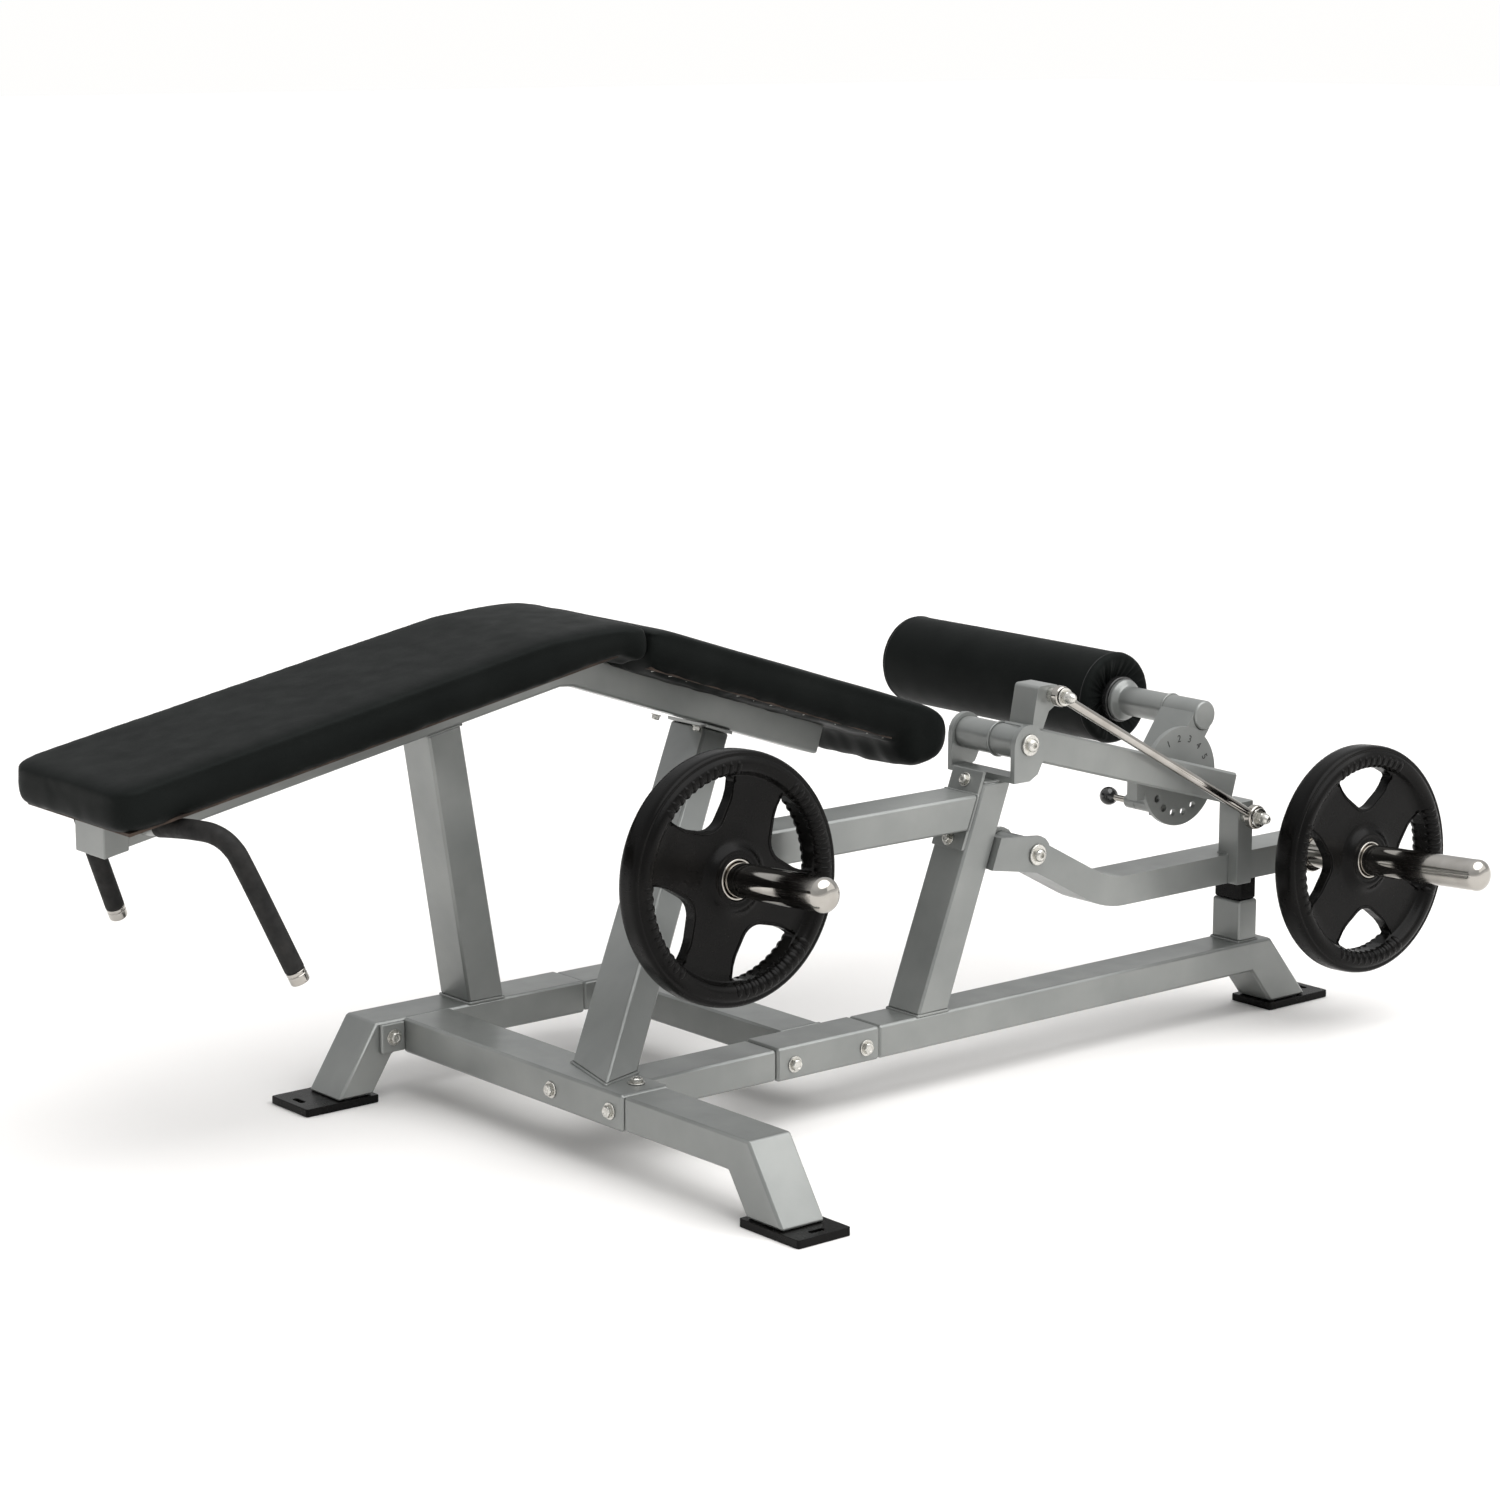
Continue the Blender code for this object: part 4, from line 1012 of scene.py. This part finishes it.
def build_dial_marks():
    """Numbers 1 to 5 stamped round the upper edge of the dial's near face."""
    radius = 0.0610
    digits = Shape()
    for k in range(5):
        angle = math.radians(116 - 22.9 * k)
        curve = bpy.data.curves.new("digit", "FONT")
        curve.body = str(k + 1)
        curve.size = 0.0165
        curve.extrude = 0.00035
        curve.align_x = "CENTER"
        curve.align_y = "CENTER"
        text = bpy.data.objects.new("digit", curve)
        into_scene(text)
        bpy.context.view_layer.update()
        mesh = bpy.data.meshes.new_from_object(text.evaluated_get(bpy.context.evaluated_depsgraph_get()))
        bpy.data.objects.remove(text, do_unlink=True)
        turn = angle - math.pi / 2
        centre = (SELECTOR[0] + radius * math.cos(angle), SELECTOR[1] + radius * math.sin(angle))
        points = []
        for vertex in mesh.vertices:
            a = vertex.co.x * math.cos(turn) - vertex.co.y * math.sin(turn)
            b = vertex.co.x * math.sin(turn) + vertex.co.y * math.cos(turn)
            points.append(at(centre[0] + a, 0.0345 - vertex.co.z, centre[1] + b))
        digits.add(points, [tuple(p.vertices) for p in mesh.polygons])
    obj = piece("dial_numbers", digits, "selector", INK)
    obj.data.polygons.foreach_set("use_smooth", [False] * len(obj.data.polygons))


def build_roller():
    """The leg roller: vinyl pulled over foam and gathered into a hollow at each end."""
    sides = 192
    low, high = ROLLER_Y
    centre = (low + high) / 2
    half = (high - low) / 2
    profile = []
    for radius, depth, pleat in (
        (0.0180, 0.0135, 0.0), (0.0215, 0.0140, 0.4), (0.0280, 0.0125, 0.9), (0.0350, 0.0095, 1.0),
        (0.0430, 0.0062, 1.0), (0.0520, 0.0034, 0.8), (0.0600, 0.0012, 0.5), (0.0660, 0.0004, 0.3),
    ):
        profile.append((radius, half - depth, pleat))
    for k in range(1, 7):
        angle = math.pi / 2 * k / 6
        profile.append((0.0660 + 0.0095 * math.sin(angle), half - 0.0100 + 0.0096 * math.cos(angle),
            0.25 * (1 - k / 6)))
    gathered_end = list(profile)
    for k in range(1, 20):
        profile.append((ROLLER_RADIUS - 0.0004 + 0.0004 * math.sin(math.pi * k / 20),
            (half - 0.010) * (1 - k / 10), 0.0))
    for radius, depth, pleat in reversed(gathered_end):
        profile.append((radius, -depth, pleat))
    rows = []
    for radius, depth, pleat in profile:
        row = []
        for k in range(sides):
            angle = 2 * math.pi * k / sides
            fold = noise.noise(Vector((math.cos(angle) * 5.5, math.sin(angle) * 5.5,
                2.0 if depth > 0 else 9.0)))
            fold += 0.5 * noise.noise(Vector((math.cos(angle) * 12, math.sin(angle) * 12,
                5.0 if depth > 0 else 13.0)))
            y = depth - math.copysign(1, depth) * pleat * (0.0016 + 0.0042 * fold) if pleat else depth
            y = max(-half, min(half, y))
            row.append(at(ROLLER_AXIS[0] + radius * math.cos(angle), centre + y,
                ROLLER_AXIS[1] + radius * math.sin(angle)))
        rows.append(row)
    roller = piece("roller_cushion", Shape().rings(rows, closed=True), "roller", VINYL, ["roller"])

    seam = Shape()
    for y in (low + 0.0115, high - 0.0115):
        seam.tube(circle(ROLLER_AXIS, 0.0752, y, 120), 0.0009, 8, closed=True)
    piece("roller_seams", seam, "roller", SEAM)


def build_rod():
    top = at(ROD_TOP[0], -0.040, ROD_TOP[1])
    bottom = at(ROD_BOTTOM[0], -0.040, ROD_BOTTOM[1])
    along = (bottom - top).normalized()
    length = (bottom - top).length
    bar = Shape()
    profile = [(0.0150, 0), (0.0150, 0.0066), (0.0200, 0.0074), (length - 0.0240, 0.0074),
        (length - 0.0185, 0.0066), (length - 0.0185, 0)]
    bar.lathe(profile, top, along, 48)
    for centre, outer, inner in ((ROD_TOP, 0.0160, 0.0066), (ROD_BOTTOM, 0.0195, 0.0135)):
        ring = [(-0.0466, inner + 0.0004), (-0.0470, inner + 0.0012), (-0.0470, outer - 0.0024),
            (-0.0458, outer - 0.0006), (-0.0445, outer)]
        ring += [(-0.0355, outer), (-0.0342, outer - 0.0006), (-0.0330, outer - 0.0024),
            (-0.0330, inner + 0.0012), (-0.0334, inner + 0.0004)]
        y_lathe(bar, centre, ring, 64)
    piece("chrome_rod", bar, "link", CHROME, ["link_rod"], round_by=0.0004)


# ---------------------------------------------------------------- horns and plates


def horn_axis():
    lean = math.radians(HORN_TILT)
    return Vector((0, -math.cos(lean), math.sin(lean)))


def build_horn(label, base, length, body):
    along = horn_axis()
    peg = [(0, 0), (0, HORN_RADIUS - 0.001), (0.001, HORN_RADIUS)]
    peg += [(0.002 + (length - 0.0190) * k / 8, HORN_RADIUS) for k in range(9)]
    peg.append((length - 0.0160, HORN_RADIUS))
    for k in range(1, 13):
        angle = math.pi / 2 * k / 12
        peg.append((length - 0.0160 + 0.0158 * math.sin(angle),
            HORN_RADIUS * math.cos(angle) ** 0.8 if k < 12 else 0))
    horn = Shape().lathe(peg, at(*base), along, 96)
    piece(label + "_horn_bar", horn, body, CHROME, [label + "_horn"])
    bore = HORN_RADIUS + 0.0005
    start, end, wide = (0.021, 0.043, 0.0330) if label == "arm" else (0.001, 0.013, 0.0380)
    ring = [(start, bore), (start, wide - 0.0015), (start + 0.0015, wide), (end - 0.0015, wide),
        (end, wide - 0.0015), (end, bore)]
    piece(label + "_horn_collar", Shape().lathe(ring, at(*base), along, 72), body, CHROME,
        [label + "_collar"], round_by=0.0004)


def plate_window(middle):
    """One hand hole: a rounded triangle with its tip towards the hub and its base along the rim."""
    corners = [(0.0740, 0.0), (0.1120, -22.0), (0.1450, -27.0), (0.1490, -16.0), (0.1498, -8.0),
        (0.1500, 0.0), (0.1498, 8.0)]
    corners += [(0.1490, 16.0), (0.1450, 27.0), (0.1120, 22.0)]
    flat = []
    for radius, angle in corners:
        turn = math.radians(middle + angle)
        flat.append((radius * math.cos(turn), radius * math.sin(turn)))
    return rounded(flat, [0.030, 0.050, 0.0080, 0, 0, 0, 0, 0, 0.0080, 0.050], 9)


def soften_windows(obj, centre, along):
    """Rounds the rims of the four hand holes."""
    built = bmesh.new()
    built.from_mesh(obj.data)
    walls = set()
    for face in built.faces:
        offset = face.calc_center_median() - centre
        reach = (offset - along * offset.dot(along)).length
        if abs(face.normal.dot(along)) < 0.05 and 0.080 < reach < 0.1508:
            walls.add(face)
    edges = [e for e in built.edges if len(e.link_faces) == 2 and sum(f in walls for f in e.link_faces) == 1]
    bmesh.ops.bevel(built, geom=edges, offset=0.0026, segments=3, profile=0.5, affect="EDGES",
        clamp_overlap=True)
    built.to_mesh(obj.data)
    built.free()


def build_plate(label, base, distance, turn, body):
    along = horn_axis()
    centre = at(*base) + along * distance
    _, side, up = frame_of(along)
    front = [(0.0205, 0.0300), (0.0205, 0.0325), (0.0192, 0.0338), (0.0192, 0.0372), (0.0206, 0.0384),
        (0.0200, 0.0425)]
    front += [(0.0160, 0.0470), (0.0118, 0.0530), (0.0100, 0.0600), (0.0090, 0.0800), (0.0086, 0.1300),
        (0.0092, 0.1450)]
    front += [(0.0122, 0.1486), (0.0185, 0.1508), (0.0228, 0.1545), (0.0246, 0.1595), (0.0250, 0.1645),
        (0.0242, 0.1692)]
    front += [(0.0222, 0.1726), (0.0200, 0.1748), (0.0195, 0.1761), (0.0202, 0.1776), (0.0198, 0.1796),
        (0.0182, 0.1816)]
    front += [(0.0152, 0.1831), (0.0105, 0.1839), (0.0050, PLATE_RADIUS)]
    profile = front + [(-d, r) for d, r in reversed(front)]
    obj = into_object(label + "_weight_plate", Shape().lathe(profile, centre, along, 144))
    windows = []
    for k in range(4):
        outline = [(-a, b) for a, b in plate_window(turn + 90 * k)]
        windows.append(Shape().prism(outline, along, -0.05, 0.05, centre, side, up))
    cut(obj, windows)
    soften_windows(obj, centre, along)
    obj.modifiers.new("shade", "WEIGHTED_NORMAL")
    dress(obj, body, RUBBER, [label + "_plate"])

    bush = [(-0.0208, 0.0266), (-0.0212, 0.0272), (-0.0212, 0.0290), (-0.0206, 0.0295), (0.0206, 0.0295),
        (0.0212, 0.0290), (0.0212, 0.0272), (0.0208, 0.0266)]
    piece(label + "_plate_ring", Shape().lathe(bush, centre, along, 72), body, CHROME,
        [label + "_plate_bush"])
    build_ribs(label, centre, along, side, up, turn, body)


def build_ribs(label, centre, along, side, up, turn, body):
    """Broad grip ribs across the rim beside each hand hole, and a raised edge round the hole, front and back."""
    ribs = Shape()
    section = ((0.0096, 0.1478), (0.0134, 0.1490), (0.0190, 0.1511), (0.0230, 0.1548), (0.0247, 0.1597),
        (0.0249, 0.1650), (0.0238, 0.1700))
    swell = (0.10, 0.75, 1.0, 1.0, 1.0, 0.85, 0.10)

    def place(radius, angle, depth):
        return centre + (side * -math.cos(angle) + up * math.sin(angle)) * radius + along * depth

    for k in range(4):
        for step in range(-5, 6):
            angle = math.radians(turn + 90 * k + step * 5.0)
            around = side * math.sin(angle) + up * math.cos(angle)
            for face in (1, -1):
                rows = []
                for i, ((depth, radius), size) in enumerate(zip(section, swell)):
                    before, after = section[max(0, i - 1)], section[min(len(section) - 1, i + 1)]
                    run = Vector((after[0] - before[0], after[1] - before[1])).normalized()
                    out = (place(1, angle, 0) - place(0, angle, 0)) * -run.x + along * (run.y * face)
                    middle = place(radius, angle, depth * face)
                    rows.append([
                        middle + around * (0.0046 * size * math.cos(2 * math.pi * j / 12)) + out * (0.0016 * size * math.sin(2 * math.pi * j / 12))
                        for j in range(12)
                    ])
                tips = [[place(radius, angle, depth * face)] for depth, radius in (section[0], section[-1])]
                ribs.rings(tips[:1] + rows + tips[1:])
        outline = [Vector(p) for p in plate_window(turn + 90 * k)]
        middle = sum(outline, Vector((0, 0))) / len(outline)
        inner = [p for p in outline if p.length < 0.1435]
        inner.sort(key=lambda p: (math.degrees(math.atan2(p.y, p.x)) - turn - 90 * k + 180) % 360)
        for face in (1, -1):
            edge = []
            for point in inner:
                wide = point + (point - middle).normalized() * 0.0042
                edge.append(centre + side * -wide.x + up * wide.y + along * (0.0090 * face))
            ribs.tube(edge, lambda t: 0.0013 * min(1.0, 0.2 + 8 * min(t, 1 - t)), 8, domed=0.001)
    piece(label + "_plate_ribs", ribs, body, RUBBER)


# ---------------------------------------------------------------- floor, light and camera


def build_floor():
    mesh = bpy.data.meshes.new("floor")
    reach = 60.0
    mesh.from_pydata([(-reach, -reach, 0), (reach, -reach, 0), (reach, reach, 0), (-reach, reach, 0)], [],
        [(0, 1, 2, 3)])
    floor = bpy.data.objects.new("floor", mesh)
    into_scene(floor)
    floor.location.z = -0.0005
    r = Recipe("floor")
    r.colour(r.noise(1.5, 3.0), [(0.3, (0.86, 0.845, 0.83)), (0.7, (0.88, 0.865, 0.85))])
    r.roughness(r.noise(4.0, 3.0), 0.75, 0.85)
    mesh.materials.append(r.done())


def area_light(name, place, aim, size, power, colour=(1.0, 1.0, 1.0)):
    data = bpy.data.lights.new(name, "AREA")
    data.shape = "RECTANGLE"
    data.size, data.size_y = size
    data.energy = power
    data.color = colour
    light = bpy.data.objects.new(name, data)
    light.location = place
    light.rotation_euler = (Vector(aim) - Vector(place)).to_track_quat("-Z", "Y").to_euler()
    into_scene(light)


def build_world():
    """A studio dome: white at the horizon and overhead, grey between."""
    world = bpy.data.worlds.new("studio")
    bpy.context.scene.world = world
    world.use_nodes = True
    nodes, links = world.node_tree.nodes, world.node_tree.links
    place = nodes.new("ShaderNodeTexCoord")
    split = nodes.new("ShaderNodeSeparateXYZ")
    ramp = nodes.new("ShaderNodeValToRGB")
    links.new(place.outputs["Generated"], split.inputs["Vector"])
    links.new(split.outputs["Z"], ramp.inputs["Fac"])
    links.new(ramp.outputs["Color"], nodes["Background"].inputs["Color"])
    elements = ramp.color_ramp.elements
    elements.new(0.12)
    elements.new(0.35)
    for element, (position, shade) in zip(elements, WORLD_RAMP):
        element.position = position
        element.color = (*shade, 1.0)


def build_light():
    build_world()
    sun = bpy.data.lights.new("ceiling", "SUN")
    sun.energy = SUN_POWER
    sun.angle = math.radians(70)
    ceiling = bpy.data.objects.new("ceiling", sun)
    ceiling.rotation_euler = (math.radians(24), math.radians(10), 0.0)
    into_scene(ceiling)
    area_light("key", (2.8, -3.4, 2.4), (0.1, 0.0, 0.3), (3.4, 2.8), 24.0, (1.0, 0.985, 0.96))


def build_camera():
    data = bpy.data.cameras.new("camera")
    data.lens = CAMERA_LENS
    data.sensor_width = 36.0
    data.clip_end = 200.0
    camera = bpy.data.objects.new("camera", data)
    camera.location = at(*CAMERA_AT)
    camera.rotation_euler = [math.radians(a) for a in CAMERA_TURN]
    into_scene(camera)
    bpy.context.scene.camera = camera


dress_frame()
build_bolts()
build_welds()
build_pads()
build_handles()
build_tube_ends()
build_feet()
build_lever_parts()
build_selector()
build_rod()
build_horn("arm", ARM_HORN, ARM_HORN_LENGTH, "weight_arm")
build_horn("store", STORE_HORN, STORE_HORN_LENGTH, "frame")
build_plate("arm", ARM_HORN, ARM_PLATE_AT, ARM_PLATE_TURN, "arm_plate")
build_plate("store", STORE_HORN, STORE_PLATE_AT, STORE_PLATE_TURN, "store_plate")
build_floor()
build_light()
build_camera()
bpy.context.scene.view_settings.view_transform = "Standard"
bpy.context.view_layer.update()
